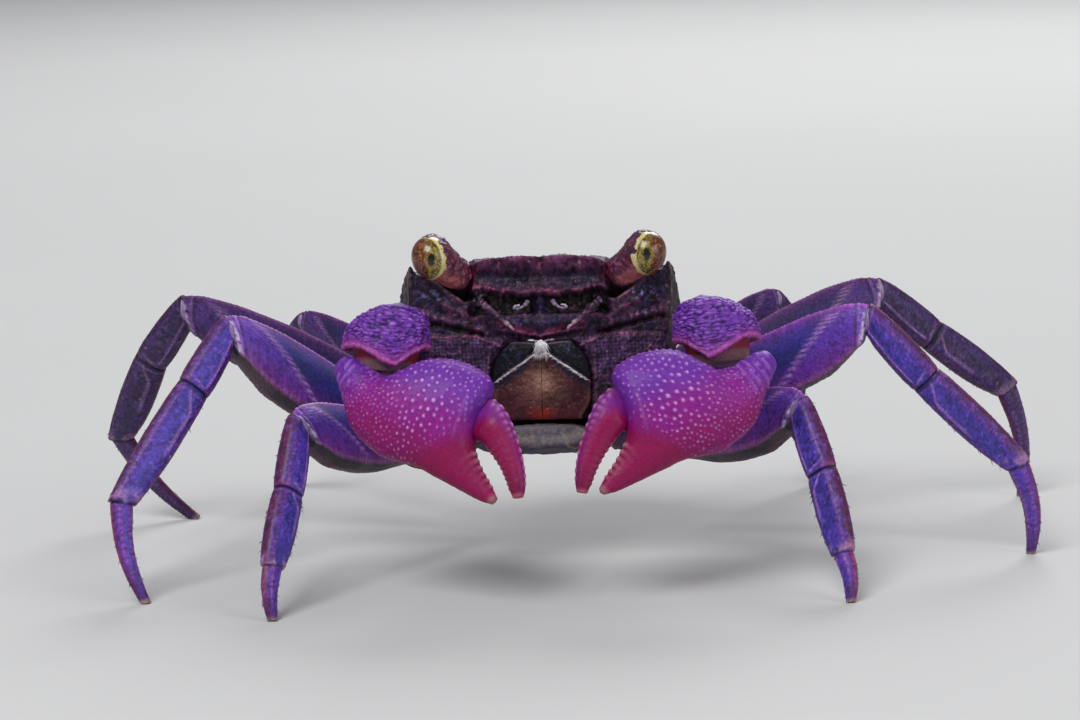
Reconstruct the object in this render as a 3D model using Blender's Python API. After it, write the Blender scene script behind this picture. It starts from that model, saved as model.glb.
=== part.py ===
"""A purple land crab (a vampire crab, genus Geosesarma), life size, standing with its claws folded
in front of it. Every sub-part is one closed loft: rings of points joined by quads, with a pole
at each end. The crab faces -Y, its left-hand parts in front view lie at -X, and it stands on Z = 0.
"""

import math

import bpy
import numpy as np
from mathutils import Vector

MM = 0.001  # sizes below are in millimetres until an object is made

# Body: its own frame has x to the side, y back along the body and z up from the frontal margin.
FRONT_HEIGHT = 17.05  # frontal margin above the floor
BODY_PITCH = 18.0  # degrees, the front is held higher than the rear
HALF_WIDTH_EYES = 6.85  # at the tooth outside each eye
HALF_WIDTH_MAX = 7.5
BODY_LENGTH = 12.8
ORBIT_DEPTH = 2.2  # how far the orbit is notched back
FACE_SLANT = 0.33  # the face runs back this much for each step down
REAR_MIDDLE = -3.4  # height of the middle of the rear end
REAR_HALF_WIDTH = 4.7
# Breastplate and folded tail: back along the body, half width, height, half thickness.
STERNUM = (
    (2.9, 1.6, -8.85, 0.25),
    (3.3, 2.7, -9.15, 0.68),
    (4.6, 3.7, -9.2, 0.76),
    (6.6, 4.0, -8.25, 0.8),
    (8.6, 3.9, -7.8, 0.8),
    (10.4, 3.3, -7.2, 0.75),
    (11.6, 2.0, -6.6, 0.5),
)
ABDOMEN = (
    (5.9, 0.35, -9.88, 0.24),
    (6.5, 0.7, -9.68, 0.26),
    (7.4, 1.0, -9.45, 0.27),
    (9.0, 1.5, -8.98, 0.27),
    (10.8, 2.1, -8.35, 0.27),
    (12.2, 2.5, -7.4, 0.27),
    (12.9, 2.3, -6.3, 0.27),
)

# Flaps of the mouth: share of the way down, half width.
MAXILLIPED = ((0.0, 0.35), (0.12, 0.85), (0.4, 1.12), (0.7, 1.1), (0.9, 0.95), (1.0, 0.5))
MAXILLIPED_TOP = -4.35  # height over the frontal margin
MAXILLIPED_DROP = 3.9
MAXILLIPED_THICK = 0.42  # half thickness
PLATE_SIDES = 12

# Antennae: root beside the eye, tip over the mouth, and half thickness along the way.
ANTENNA_ROOT = (3.15, -0.55, 14.75)
ANTENNA_TIP = (1.5, -0.35, 13.3)
ANTENNA = ((0.0, 0.26), (0.25, 0.29), (0.6, 0.27), (1.0, 0.26))

# Walking legs, front pair to rear pair. Lengths run merus, carpus, propodus, dactylus.
LEG_LENGTHS = (
    (9.1, 3.75, 4.4, 2.65),
    (12.3, 4.5, 6.8, 5.3),
    (12.6, 4.4, 6.2, 6.6),
    (9.3, 3.6, 5.5, 4.9),
)
LEG_GIRTHS = (1.0, 1.03, 1.06, 0.78)
# Where each merus starts: to the side and back from the frontal margin.
LEG_BASES = ((7.4, 3.3), (7.5, 5.3), (8.2, 7.8), (7.1, 10.2))
# Where each hip leaves the breastplate, in the body's frame.
HIP_ROOTS = ((4.45, 6.6, -9.1), (4.55, 7.8, -8.7), (4.6, 9.5, -7.9), (4.3, 10.9, -6.8))
HIP_BEND = 1.5  # how far before the merus the hip starts to turn into line with it
HIP_TAPER = 0.7  # girth of a hip at its root against its girth at the merus
# Pose of each leg: height of the merus's start over the floor, then in degrees how far it is
# turned forward from straight out and leaned back, and the rise of the merus, carpus and
# propodus. The dactylus reaches the floor, past upright if inward.
POSE_LEFT = (
    (6.2, 56.5, 15, 17.4, -56, -52, False),
    (5.8, 32.5, 15, 37.7, -47, -47, True),
    (8.1, -17, -23, 26, -50, -61, True),
    (9.0, -48, -17, 14, -40, -87, False),
)
POSE_RIGHT = (
    (6.2, 49, 12, 18.5, -54, -60, False),
    (7.5, 16.5, -14, 28.2, -49, -46, False),
    (8.1, -22, -2, 22, -38, -36, False),
    (9.0, -45, -7, 18, -46, -90, False),
)
JOINT_GAP = 0.2
FOOT_RADIUS = 0.27
LEG_SIDES = 10

# Leg profiles: place along the segment, height above and below its line, half thickness.
MERUS = (
    (0.0, 0.85, 0.85, 0.60),
    (0.14, 1.25, 1.20, 0.75),
    (0.32, 1.55, 1.65, 0.85),
    (0.52, 1.68, 1.85, 0.86),
    (0.72, 1.58, 1.80, 0.82),
    (0.88, 1.22, 1.50, 0.78),
    (1.0, 0.72, 1.05, 0.68),
)
CARPUS = (
    (0.0, 0.66, 0.58, 0.50),
    (0.22, 0.86, 0.72, 0.58),
    (0.5, 0.92, 0.82, 0.62),
    (0.8, 0.90, 0.86, 0.60),
    (1.0, 0.78, 0.78, 0.54),
)
PROPODUS = (
    (0.0, 0.80, 0.78, 0.50),
    (0.15, 0.92, 0.88, 0.55),
    (0.45, 0.96, 0.92, 0.56),
    (0.75, 0.88, 0.82, 0.52),
    (1.0, 0.70, 0.64, 0.46),
)
DACTYLUS = (
    (0.0, 0.56, 0.52, 0.40),
    (0.2, 0.58, 0.52, 0.42),
    (0.45, 0.50, 0.44, 0.38),
    (0.7, 0.40, 0.36, 0.33),
    (0.9, 0.31, 0.29, 0.29),
)
DACTYLUS_BOW = 0.075  # of its length

# Chelipeds. Wrist and tip of the fixed finger, then the centre of the carpus dome.
CLAW_LEFT = ((-9.4, -4.5, 11.3), (-2.6, -9.0, 6.0), (-8.0, -2.9, 13.65))
CLAW_RIGHT = ((10.7, -5.4, 11.3), (2.8, -8.6, 6.15), (9.1, -2.9, 13.7))
CLAW_ROOT = (5.4, 3.6, -8.75)  # in the body's frame
# Palm and fixed finger: along, lower edge, upper edge, half thickness.
PALM = (
    (-0.35, -0.75, 0.95, 0.75),
    (0.4, -1.45, 1.55, 1.15),
    (1.25, -2.0, 2.2, 1.45),
    (2.2, -2.2, 3.35, 1.7),
    (3.3, -2.2, 4.1, 1.8),
    (4.4, -1.8, 4.42, 1.78),
    (5.4, -1.3, 4.38, 1.6),
    (6.0, -1.1, 3.15, 1.4),
    (6.6, -1.0, 1.7, 1.15),
    (7.2, -0.9, 1.2, 0.9),
    (8.2, -0.78, 0.75, 0.62),
    (9.2, -0.55, 0.4, 0.42),
    (9.85, -0.3, 0.15, 0.27),
)
# Movable finger: centre along, centre up, half width, half thickness.
FINGER = (
    (6.42, 3.0, 1.22, 0.95),
    (7.25, 2.93, 1.0, 0.82),
    (8.0, 2.66, 0.86, 0.68),
    (8.95, 2.14, 0.72, 0.54),
    (9.7, 1.62, 0.54, 0.42),
    (10.15, 1.22, 0.40, 0.32),
    (10.45, 0.92, 0.25, 0.25),
)
# How far each movable finger is closed further: drop of its line for each millimetre.
FINGER_CLOSING = {"left": 0.0, "right": 0.09}
PALM_SIDES = 14
# Wrist piece: down its axis, half width, half depth. Upper arm: share of its length, half height,
# half thickness, and where it ends behind the wrist piece's centre.
CLAW_CARPUS = (
    (-1.52, 0.62, 0.62),
    (-1.15, 1.35, 1.2),
    (-0.5, 1.95, 1.65),
    (0.25, 2.22, 1.85),
    (0.85, 2.28, 1.85),
    (1.1, 1.7, 1.4),
)
RIM_DIP = 0.75
CLAW_MERUS = (
    (0.0, 0.8, 0.75),
    (0.2, 1.05, 0.85),
    (0.5, 1.25, 0.9),
    (0.8, 1.25, 0.9),
    (1.0, 0.85, 0.7),
)
CLAW_MERUS_END = (0.6, 2.0, -1.45)

# Eyes.
EYE_CENTRE = (5.75, -0.35, 17.2)
EYE_STALK_ROOT = (3.95, 0.6, 15.85)
CORNEA_RADIUS = 1.02
CORNEA_HALF_LENGTH = 1.16
EYE_SIDES = 14

COLOURS = {
    "shell": ((0.085, 0.018, 0.075, 1), 0.38),
    "leg": ((0.065, 0.035, 0.34, 1), 0.36),
    "leg_rear": ((0.045, 0.024, 0.16, 1), 0.4),
    "claw": ((0.34, 0.035, 0.32, 1), 0.34),
    "claw_wrist": ((0.22, 0.055, 0.52, 1), 0.36),
    "finger": ((0.42, 0.012, 0.12, 1), 0.32),
    "mouth": ((0.012, 0.012, 0.035, 1), 0.3),
    "belly": ((0.10, 0.085, 0.12, 1), 0.45),
    "stalk": ((0.42, 0.07, 0.16, 1), 0.4),
    "cornea": ((0.42, 0.30, 0.05, 1), 0.12),
    "antenna": ((0.55, 0.42, 0.50, 1), 0.4),
}


def material(name):
    """The Principled material of this name, made once."""
    found = bpy.data.materials.get(name)
    if found:
        return found
    colour, roughness = COLOURS[name]
    made = bpy.data.materials.new(name)
    made.use_nodes = True
    made.diffuse_color = colour
    shader = made.node_tree.nodes["Principled BSDF"]
    shader.inputs["Base Color"].default_value = colour
    shader.inputs["Roughness"].default_value = roughness
    shader.inputs["Metallic"].default_value = 0.0
    return made


def loft(name, rings, poles, finish):
    """One closed body from rings of as many points each, closed by a fan to the pole at each end."""
    rings = np.asarray(rings, dtype=float)
    count, sides = rings.shape[:2]
    points = [Vector(p) * MM for p in rings.reshape(-1, 3)]
    points += [Vector(poles[0]) * MM, Vector(poles[1]) * MM]
    first, last = count * sides, count * sides + 1
    faces = []
    for row in range(count - 1):
        for k in range(sides):
            a, b = row * sides + k, row * sides + (k + 1) % sides
            faces.append((a, b, b + sides, a + sides))
    for k in range(sides):
        nxt = (k + 1) % sides
        faces.append((first, nxt, k))
        faces.append((last, (count - 1) * sides + k, (count - 1) * sides + nxt))
    if volume(points, faces) < 0:
        faces = [tuple(reversed(face)) for face in faces]
    mesh = bpy.data.meshes.new(name)
    mesh.from_pydata(points, [], faces)
    mesh.shade_smooth()
    mesh.set_sharp_from_angle(angle=math.radians(50))
    mesh.materials.append(material(finish))
    made = bpy.data.objects.new(name, mesh)
    bpy.context.scene.collection.objects.link(made)
    return made


def volume(points, faces):
    """Signed volume of a closed mesh: positive when its faces point out."""
    total = 0.0
    for face in faces:
        for k in range(1, len(face) - 1):
            a, b, c = points[face[0]], points[face[k]], points[face[k + 1]]
            total += a.dot(b.cross(c))
    return total


def superellipse(sides, fullness):
    """Points round a rounded box of half size 1, from the top; fullness 1 is a circle, less is fuller."""
    found = []
    for k in range(sides):
        angle = math.radians(90.0) + 2.0 * math.pi * k / sides
        x, y = math.cos(angle), math.sin(angle)
        found.append((math.copysign(abs(x) ** fullness, x), math.copysign(abs(y) ** fullness, y)))
    return found


def ease(value):
    """Smooth step from 0 to 1."""
    value = min(1.0, max(0.0, value))
    return value * value * (3.0 - 2.0 * value)


def body_point(x, back, up):
    """A point of the body's pitched frame, in millimetres over the floor."""
    pitch = math.radians(BODY_PITCH)
    return Vector((
        x,
        back * math.cos(pitch) + up * math.sin(pitch),
        FRONT_HEIGHT - back * math.sin(pitch) + up * math.cos(pitch),
    ))


# ---------------------------------------------------------------- walking legs


def leg_frame(side, turn, lean):
    """Unit vectors of a leg's plane: outward, across the plane (towards the front) and up."""
    turn, lean = math.radians(turn), math.radians(lean)
    outward = Vector((side * math.cos(turn), -math.sin(turn), 0.0))
    back = Vector((side * math.sin(turn), math.cos(turn), 0.0))
    up = Vector((0, 0, 1)) * math.cos(lean) + back * math.sin(lean)
    across = back * math.cos(lean) - Vector((0, 0, 1)) * math.sin(lean)
    return outward, -across, up


def hip(name, root, start, across, direction, girth, finish):
    """Coxa and ischium in one: a short curved piece from the breastplate to the merus."""
    last = start - direction * (1.5 * JOINT_GAP)
    knee = last - direction * HIP_BEND
    made = []
    steps = 5
    for step in range(steps):
        t = step / (steps - 1)
        centre = root * (1 - t) ** 2 + knee * (2 * t * (1 - t)) + last * t ** 2
        along = ((knee - root) * (1 - t) + (last - knee) * t).normalized()
        side = (across - along * across.dot(along)).normalized()
        upward = along.cross(side).normalized()
        if upward.z < 0:
            upward = -upward
        size = girth * (0.78 + 0.1 * math.sin(math.pi * t)) * (HIP_TAPER + (1 - HIP_TAPER) * t)
        made.append([
            centre + side * (0.74 * size * x) + upward * (size * y)
            for x, y in superellipse(LEG_SIDES, 0.9)
        ])
    inward = (knee - root).normalized()
    return loft(name, made, (root + inward * 0.04, last - direction * 0.04), finish)


def walking_leg(side, number, pose):
    """Hip, merus, carpus, propodus and dactylus of one leg."""
    label = f"leg_{'left' if side < 0 else 'right'}_{number + 1}"
    height, turn, lean, *rises, inward = pose
    outward, across, up = leg_frame(side, turn, lean)
    lengths, girth = LEG_LENGTHS[number], LEG_GIRTHS[number]
    finish = "leg" if number < 2 else "leg_rear"
    aside, behind = LEG_BASES[number]
    joints = [Vector((side * aside, behind, height))]
    for rise, length in zip(rises, lengths[:3]):
        angle = math.radians(rise)
        joints.append(joints[-1] + (outward * math.cos(angle) + up * math.sin(angle)) * length)
    drop = math.asin(joints[-1].z / (lengths[3] * up.z))
    last = -math.pi + drop if inward else -drop
    joints.append(joints[-1] + (outward * math.cos(last) + up * math.sin(last)) * lengths[3])
    angles = [math.radians(rise) for rise in rises] + [last]

    direction = (joints[1] - joints[0]).normalized()
    hip(f"{label}_hip", body_point(side * HIP_ROOTS[number][0], *HIP_ROOTS[number][1:]),
        joints[0], across, direction, girth, finish)
    names = ("merus", "carpus", "propodus", "dactylus")
    profiles = (MERUS, CARPUS, PROPODUS, DACTYLUS)
    for k, (name, profile) in enumerate(zip(names, profiles)):
        before = math.tan((angles[k] - angles[k - 1]) / 2) if k else 0.0
        after = -math.tan((angles[k + 1] - angles[k]) / 2) if k < 3 else 0.0
        leg_segment(f"{label}_{name}", joints[k], angles[k], lengths[k], (outward, across, up),
                    profile, girth, (before, after), finish, foot=(k == 3))


def leg_segment(name, start, angle, length, frame, profile, girth, skews, finish, foot):
    """One straight or bowed segment in the leg's plane, mitred where it meets its neighbours."""
    outward, across, up = frame
    along = outward * math.cos(angle) + up * math.sin(angle)
    upward = up * math.cos(angle) - outward * math.sin(angle)
    end_gap = 0.0 if foot else JOINT_GAP / 2
    rings = []
    for t, top, bottom, thick in profile:
        reach = JOINT_GAP / 2 + t * (length - JOINT_GAP / 2 - end_gap)
        bow = DACTYLUS_BOW * length * math.sin(math.pi * t) if foot else 0.0
        centre = start + along * reach + upward * bow
        skew = skews[0] * ease(1 - t / 0.35) + skews[1] * ease(1 - (1 - t) / 0.35)
        ring = []
        for x, y in superellipse(LEG_SIDES, 0.85):
            high = girth * y * (top if y > 0 else bottom)
            ring.append(centre + across * (girth * thick * x) + upward * high + along * (high * skew))
        rings.append(ring)
    first = start + along * (JOINT_GAP / 2 + 0.04)
    if not foot:
        last = start + along * (length - JOINT_GAP / 2 - 0.04)
        return loft(name, rings, (first, last), finish)
    sole = start + along * length
    sole.z = 0.0
    level_up = Vector((upward.x, upward.y, 0.0)).normalized()
    level_across = Vector((-level_up.y, level_up.x, 0.0))
    if level_across.dot(across) < 0:
        level_across = -level_across
    rings.append([
        sole + level_across * (FOOT_RADIUS * x) + level_up * (FOOT_RADIUS * y)
        for x, y in superellipse(LEG_SIDES, 1.0)
    ])
    return loft(name, rings, (first, sole), finish)


# ---------------------------------------------------------------- chelipeds


def claw_frame(wrist, tip):
    """Unit vectors of the palm: along to the fixed finger's tip, up its height, and outer face."""
    along = (tip - wrist).normalized()
    facing = Vector((0.0, -math.cos(math.radians(10)), math.sin(math.radians(10))))
    outer = (facing - along * facing.dot(along)).normalized()
    upward = outer.cross(along)
    if upward.z < 0:
        upward = -upward
    return along, upward, outer


def palm(side, wrist, frame):
    """Palm with its fixed finger, one tapering body."""
    along, upward, outer = frame
    rings = []
    for reach, low, high, thick in PALM:
        middle, half = (high + low) / 2, (high - low) / 2
        centre = wrist + along * reach + upward * middle
        rings.append([
            centre + upward * (half * y) + outer * (thick * x)
            for x, y in superellipse(PALM_SIDES, 0.9)
        ])
    first = wrist + along * (PALM[0][0] - 0.1) + upward * 0.1
    last = wrist + along * (PALM[-1][0] + 0.15) - upward * 0.08
    return loft(f"claw_{side}_palm", rings, (first, last), "claw")


def finger(side, wrist, frame):
    """Movable finger, curving down over the fixed one. Its base slants with the palm's end."""
    along, upward, outer = frame
    hinge = FINGER[0][0]
    centres = []
    for reach, up, _, _ in FINGER:
        up -= FINGER_CLOSING[side] * (reach - hinge)
        centres.append(wrist + along * reach + upward * up)
    rings = []
    for k, (_, _, half, thick) in enumerate(FINGER):
        ahead = centres[min(k + 1, len(FINGER) - 1)] - centres[max(k - 1, 0)]
        if k == 0:
            ahead = along * 0.92 + upward * 0.38
        direction = ahead.normalized()
        across = outer.cross(direction).normalized()
        if across.dot(upward) < 0:
            across = -across
        rings.append([
            centres[k] + across * (half * y) + outer * (thick * x)
            for x, y in superellipse(PALM_SIDES, 0.95)
        ])
    end = centres[-1] + (centres[-1] - centres[-2]).normalized() * 0.15
    return loft(f"claw_{side}_finger", rings, (centres[0] + along * 0.05, end), "finger")


def claw_carpus(side, centre, sign):
    """Wrist piece: a dome whose front rim dips to a point over the palm."""
    lean = Vector((0.12 * sign, -0.30, -1.0)).normalized()
    wide = Vector((1, 0, 0))
    wide = (wide - lean * wide.dot(lean)).normalized()
    deep = lean.cross(wide).normalized()
    if deep.y > 0:
        deep = -deep
    rings = []
    for down, half, depth in CLAW_CARPUS:
        ring = []
        for x, y in superellipse(PALM_SIDES, 0.92):
            dip = RIM_DIP * ease((down + 1.0) / 2.0) * max(0.0, y) ** 2 * (1 - abs(x))
            ring.append(centre + lean * (down + dip) + wide * (half * x) + deep * (depth * y))
        rings.append(ring)
    return loft(f"claw_{side}_carpus", rings,
                (centre - lean * 1.68, centre + lean * 1.0), "claw_wrist")


def claw_merus(side, root, end):
    """Upper arm, from the breastplate to the back of the wrist piece."""
    along = (end - root).normalized()
    across = Vector((0, -1, 0))
    across = (across - along * across.dot(along)).normalized()
    upward = along.cross(across)
    if upward.z < 0:
        upward = -upward
    length = (end - root).length
    rings = []
    for t, half, thick in CLAW_MERUS:
        centre = root + along * (t * length)
        rings.append([
            centre + upward * (half * y) + across * (thick * x)
            for x, y in superellipse(LEG_SIDES, 0.85)
        ])
    return loft(f"claw_{side}_merus", rings,
                (root + along * 0.05, end - along * 0.05), "claw_wrist")


def cheliped(side, sign, places):
    """Upper arm, wrist piece, palm and movable finger of one claw."""
    wrist, tip, dome = (Vector(place) for place in places)
    frame = claw_frame(wrist, tip)
    palm(side, wrist, frame)
    finger(side, wrist, frame)
    claw_carpus(side, dome, sign)
    root = body_point(sign * CLAW_ROOT[0], *CLAW_ROOT[1:])
    aside, back, down = CLAW_MERUS_END
    claw_merus(side, root, dome + Vector((aside * sign, back, down)))


# ---------------------------------------------------------------- body


def half_width(back):
    """Half width of the carapace this far behind the front."""
    swell = math.sin(math.pi * min(1.0, back / 11.0))
    width = HALF_WIDTH_EYES + (HALF_WIDTH_MAX - HALF_WIDTH_EYES) * swell
    tail = ease((back - 7.5) / (BODY_LENGTH - 7.5))
    return width * (1 - tail) + REAR_HALF_WIDTH * tail


def crown(back):
    """Height of the carapace's middle line over the frontal margin."""
    return 0.55 * ease(back / 3.5) - 1.5 * ease((back - 8.5) / 4.6)


def carapace_half(back):
    """Half a cross-section from the top middle round to the bottom middle: (x, up) pairs."""
    width, top = half_width(back), crown(back)
    drop = 0.4 + 1.5 * ease(back / 5)
    near_front = 1 - ease(back / 1.2)
    found = []
    for share in (0.0, 0.16, 0.32, 0.47, 0.56, 0.68, 0.82, 0.94):
        brow = 0.25 * near_front * ease((share - 0.42) / 0.2)
        found.append((share * width, top - drop * share ** 2.4 - brow))
    edge = top - drop
    low = -8.1 + 1.6 * ease((back - 3.0) / 3.0) + 0.7 * ease((back - 9.0) / 3.5)
    depth = low - edge
    found.append((width, edge))
    found.append((width + 0.12, edge + 0.22 * depth))
    found.append((width - 0.05, edge + 0.45 * depth))
    found.append((width - 0.65, edge + 0.68 * depth))
    found.append((width - 1.6, edge + 0.87 * depth))
    found.append((width - 2.9, low))
    found.append((0.45 * (width - 2.9), low))
    found.append((0.0, low))
    return found


def whole_ring(half):
    """The half outline with its mirror image, as one ring."""
    return list(half) + [(-x, up) for x, up in reversed(half[1:-1])]


def orbit_notch(x, up):
    """How deep the orbit cuts back at this place of the front."""
    x = abs(x)
    across = ease((x - 3.5) / 0.5) * ease((6.75 - x) / 0.35)
    return ORBIT_DEPTH * across * ease((up + 2.3) / 0.9)


def carapace():
    """Dorsal shield, side walls and face, down to the frame of the mouth."""
    stations = (0.0, 0.7, 2.6, 4.6, 6.6, 8.4, 10.0, 11.3, 12.2)
    rings = []
    for back in stations:
        slant = FACE_SLANT * (1 - ease(back / 7.0))
        fade = max(0.0, 1 - back / 3.0)
        ring = []
        for x, up in whole_ring(carapace_half(back)):
            reach = back + slant * -min(0.0, up) + orbit_notch(x, up) * fade
            ring.append(body_point(x, reach, up))
        rings.append(ring)
    face = []
    for inset, recess in ((0.62, 0.30), (0.30, 0.62)):
        ring = []
        for x, up in whole_ring(carapace_half(0.0)):
            low = min(up, -2.35 if abs(x) > 3.4 else -1.75)
            high = -5.1 + (low + 5.1) * (0.97 if inset > 0.5 else 0.55)
            wide = x * (0.93 if inset > 0.5 else 0.55)
            ring.append(body_point(wide, recess + FACE_SLANT * -high, high))
        face.append(ring)
    rings = face[::-1] + rings
    for back, share in ((BODY_LENGTH - 0.15, 0.86), (BODY_LENGTH, 0.62)):
        ring = []
        for x, up in whole_ring(carapace_half(BODY_LENGTH)):
            ring.append(body_point(x * share, back, REAR_MIDDLE + (up - REAR_MIDDLE) * share))
        rings.append(ring)
    front_pole = body_point(0.0, 0.75 + FACE_SLANT * 5.1, -5.1)
    back_pole = body_point(0.0, BODY_LENGTH + 0.05, REAR_MIDDLE)
    return loft("carapace", rings, (front_pole, back_pole), "shell")


def maxilliped(side, sign):
    """One of the two flaps that close the mouth."""
    rings = []
    centres = []
    for share, half in MAXILLIPED:
        up = MAXILLIPED_TOP - MAXILLIPED_DROP * share
        x = sign * (1.75 - 0.35 * share)
        centre = body_point(x, FACE_SLANT * -up - MAXILLIPED_THICK, up)
        centres.append(centre)
        rings.append([
            centre + Vector((half * a, 0, 0)) + Vector((0, MAXILLIPED_THICK * b, 0))
            for a, b in superellipse(LEG_SIDES, 0.85)
        ])
    top = centres[0] + Vector((0, 0, 0.05))
    low = centres[-1] - Vector((0, 0, 0.05))
    return loft(f"maxilliped_{side}", rings, (top, low), "mouth")


def belly_plate(name, rows, point):
    """A rounded plate under the body, from front to rear, with a short point at each end."""
    rings = []
    for back, half, up, thick in rows:
        rings.append([
            body_point(half * x, back, up + thick * y)
            for x, y in superellipse(PLATE_SIDES, 0.7)
        ])
    first = body_point(0, rows[0][0] - point, rows[0][2])
    last = body_point(0, rows[-1][0] + point, rows[-1][2])
    return loft(name, rings, (first, last), "belly")


def sternum():
    """Breastplate between the legs."""
    return belly_plate("sternum", STERNUM, 0.05)


def abdomen():
    """The narrow tail folded forward under the breastplate."""
    return belly_plate("abdomen", ABDOMEN, 0.12)


def eye(side, sign):
    """Eyestalk and cornea."""
    centre = Vector((sign * EYE_CENTRE[0], EYE_CENTRE[1], EYE_CENTRE[2]))
    root = Vector((sign * EYE_STALK_ROOT[0], EYE_STALK_ROOT[1], EYE_STALK_ROOT[2]))
    along = (centre - root).normalized()
    across = along.cross(Vector((0, 0, 1))).normalized()
    upward = across.cross(along).normalized()
    length = (centre - root).length

    def ring(reach, half):
        return [
            root + along * reach + across * (half * x) + upward * (half * y)
            for x, y in superellipse(EYE_SIDES, 1.0)
        ]

    cut = length - 0.42 * CORNEA_HALF_LENGTH
    rows = ((0.0, 0.6), (0.3, 0.78), (0.45 * cut, 0.84), (0.8 * cut, 0.9), (cut - 0.05, 0.9))
    rings = [ring(reach, half) for reach, half in rows]
    loft(f"eyestalk_{side}", rings, (root - along * 0.1, root + along * (cut - 0.09)), "stalk")
    rings = []
    for share in (-0.36, 0.0, 0.36, 0.68, 0.92):
        half = CORNEA_RADIUS * math.sqrt(1 - share ** 2)
        rings.append(ring(length + share * CORNEA_HALF_LENGTH, half))
    first = root + along * (length - 0.34 * CORNEA_HALF_LENGTH)
    loft(f"eye_{side}", rings, (first, centre + along * CORNEA_HALF_LENGTH), "cornea")


def antenna(side, sign):
    """Short feeler beside the mouth frame, from under the eye inward and down."""
    outer = Vector((sign * ANTENNA_ROOT[0], *ANTENNA_ROOT[1:]))
    inner = Vector((sign * ANTENNA_TIP[0], *ANTENNA_TIP[1:]))
    along = (inner - outer).normalized()
    across = Vector((0, -1, 0))
    upward = along.cross(across).normalized()
    rings = []
    for t, half in ANTENNA:
        centre = outer + (inner - outer) * t
        rings.append([
            centre + across * (half * x) + upward * (half * y)
            for x, y in superellipse(LEG_SIDES, 1.0)
        ])
    loft(f"antenna_{side}", rings, (outer - along * 0.12, inner + along * 0.12), "antenna")


def centre_on_floor():
    """Moves every piece so that the middle of the footprint is at the origin."""
    pieces = [obj for obj in bpy.context.scene.objects if obj.type == "MESH"]
    points = np.concatenate([np.array([v.co for v in obj.data.vertices]) for obj in pieces])
    low, high = points.min(axis=0), points.max(axis=0)
    shift = Vector((-(low[0] + high[0]) / 2, -(low[1] + high[1]) / 2, 0.0))
    for obj in pieces:
        for vertex in obj.data.vertices:
            vertex.co += shift


def build():
    """The whole crab."""
    for obj in list(bpy.data.objects):
        bpy.data.objects.remove(obj, do_unlink=True)
    carapace()
    sternum()
    abdomen()
    sides = (("left", -1, POSE_LEFT, CLAW_LEFT), ("right", 1, POSE_RIGHT, CLAW_RIGHT))
    for side, sign, pose, claw in sides:
        maxilliped(side, sign)
        eye(side, sign)
        antenna(side, sign)
        cheliped(side, sign, claw)
        for number in range(4):
            walking_leg(sign, number, pose[number])
    centre_on_floor()


build()
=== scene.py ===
"""Looks of the purple land crab: every CAD node is replaced by a finely modelled piece.

Each piece is measured from the poles of the lofts in the frame, then built as a fine grid with its
own relief, and coloured by a "tint" attribute that a node material breaks up with grain and pores.
Lengths are in millimetres until a mesh is made.
"""

import functools
import math

import bpy
import numpy as np
from mathutils import Matrix, Vector


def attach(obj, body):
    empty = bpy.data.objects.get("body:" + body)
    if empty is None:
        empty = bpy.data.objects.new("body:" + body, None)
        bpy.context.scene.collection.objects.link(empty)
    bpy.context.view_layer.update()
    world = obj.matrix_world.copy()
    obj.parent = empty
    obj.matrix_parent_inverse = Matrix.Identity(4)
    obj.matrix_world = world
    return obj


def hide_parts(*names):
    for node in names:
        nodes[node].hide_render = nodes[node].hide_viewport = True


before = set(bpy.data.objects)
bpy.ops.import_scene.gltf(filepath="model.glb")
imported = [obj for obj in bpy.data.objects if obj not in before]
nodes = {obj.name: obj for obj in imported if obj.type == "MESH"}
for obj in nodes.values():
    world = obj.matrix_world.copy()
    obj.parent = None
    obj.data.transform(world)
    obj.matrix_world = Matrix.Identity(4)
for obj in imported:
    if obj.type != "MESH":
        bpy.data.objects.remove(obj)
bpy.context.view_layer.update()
MM = 0.001
X_AXIS = np.array([1.0, 0.0, 0.0])

# ---------------------------------------------------------------- numbers and noise


def ease(value):
    """Smooth step from 0 to 1."""
    value = np.clip(value, 0.0, 1.0)
    return value * value * (3.0 - 2.0 * value)


def above(value, start, width):
    """0 up to the start, rising smoothly to 1 this far beyond it."""
    return ease((value - start) / width)


def below(value, start, width):
    """0 down to the start, rising smoothly to 1 this far beneath it."""
    return ease((start - value) / width)


def band(value, middle, width):
    """1 at the middle, falling smoothly to nothing this far from it."""
    return ease(1.0 - np.abs(value - middle) / width)


def bell(value, width):
    """A bell curve, 1 at zero."""
    return np.exp(-((value / width) ** 2))


def unit(vector):
    """Vectors of length 1."""
    vector = np.asarray(vector, float)
    return vector / np.maximum(np.linalg.norm(vector, axis=-1, keepdims=True), 1e-9)


def moved(origin, *moves):
    """Points at an origin moved along vectors, given as (vector, size of each point) pairs."""
    for vector, size in moves:
        origin = origin + vector * size[..., None]
    return origin


def tone(code):
    """A colour written as six hexadecimal digits, made linear."""
    value = np.array([int(code[k:k + 2], 16) for k in (0, 2, 4)]) / 255.0
    return np.where(value <= 0.04045, value / 12.92, ((value + 0.055) / 1.055) ** 2.4)


def paint(grid, base, *layers):
    """Colours over a grid: a base tone with (tone, share) layers laid over it in order."""
    found = np.zeros(grid.shape[:2] + (3,)) + tone(base)
    for code, share in layers:
        share = np.clip(share, 0.0, 1.0) + np.zeros(grid.shape[:2])
        found += (tone(code) - found) * share[..., None]
    return found


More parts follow.
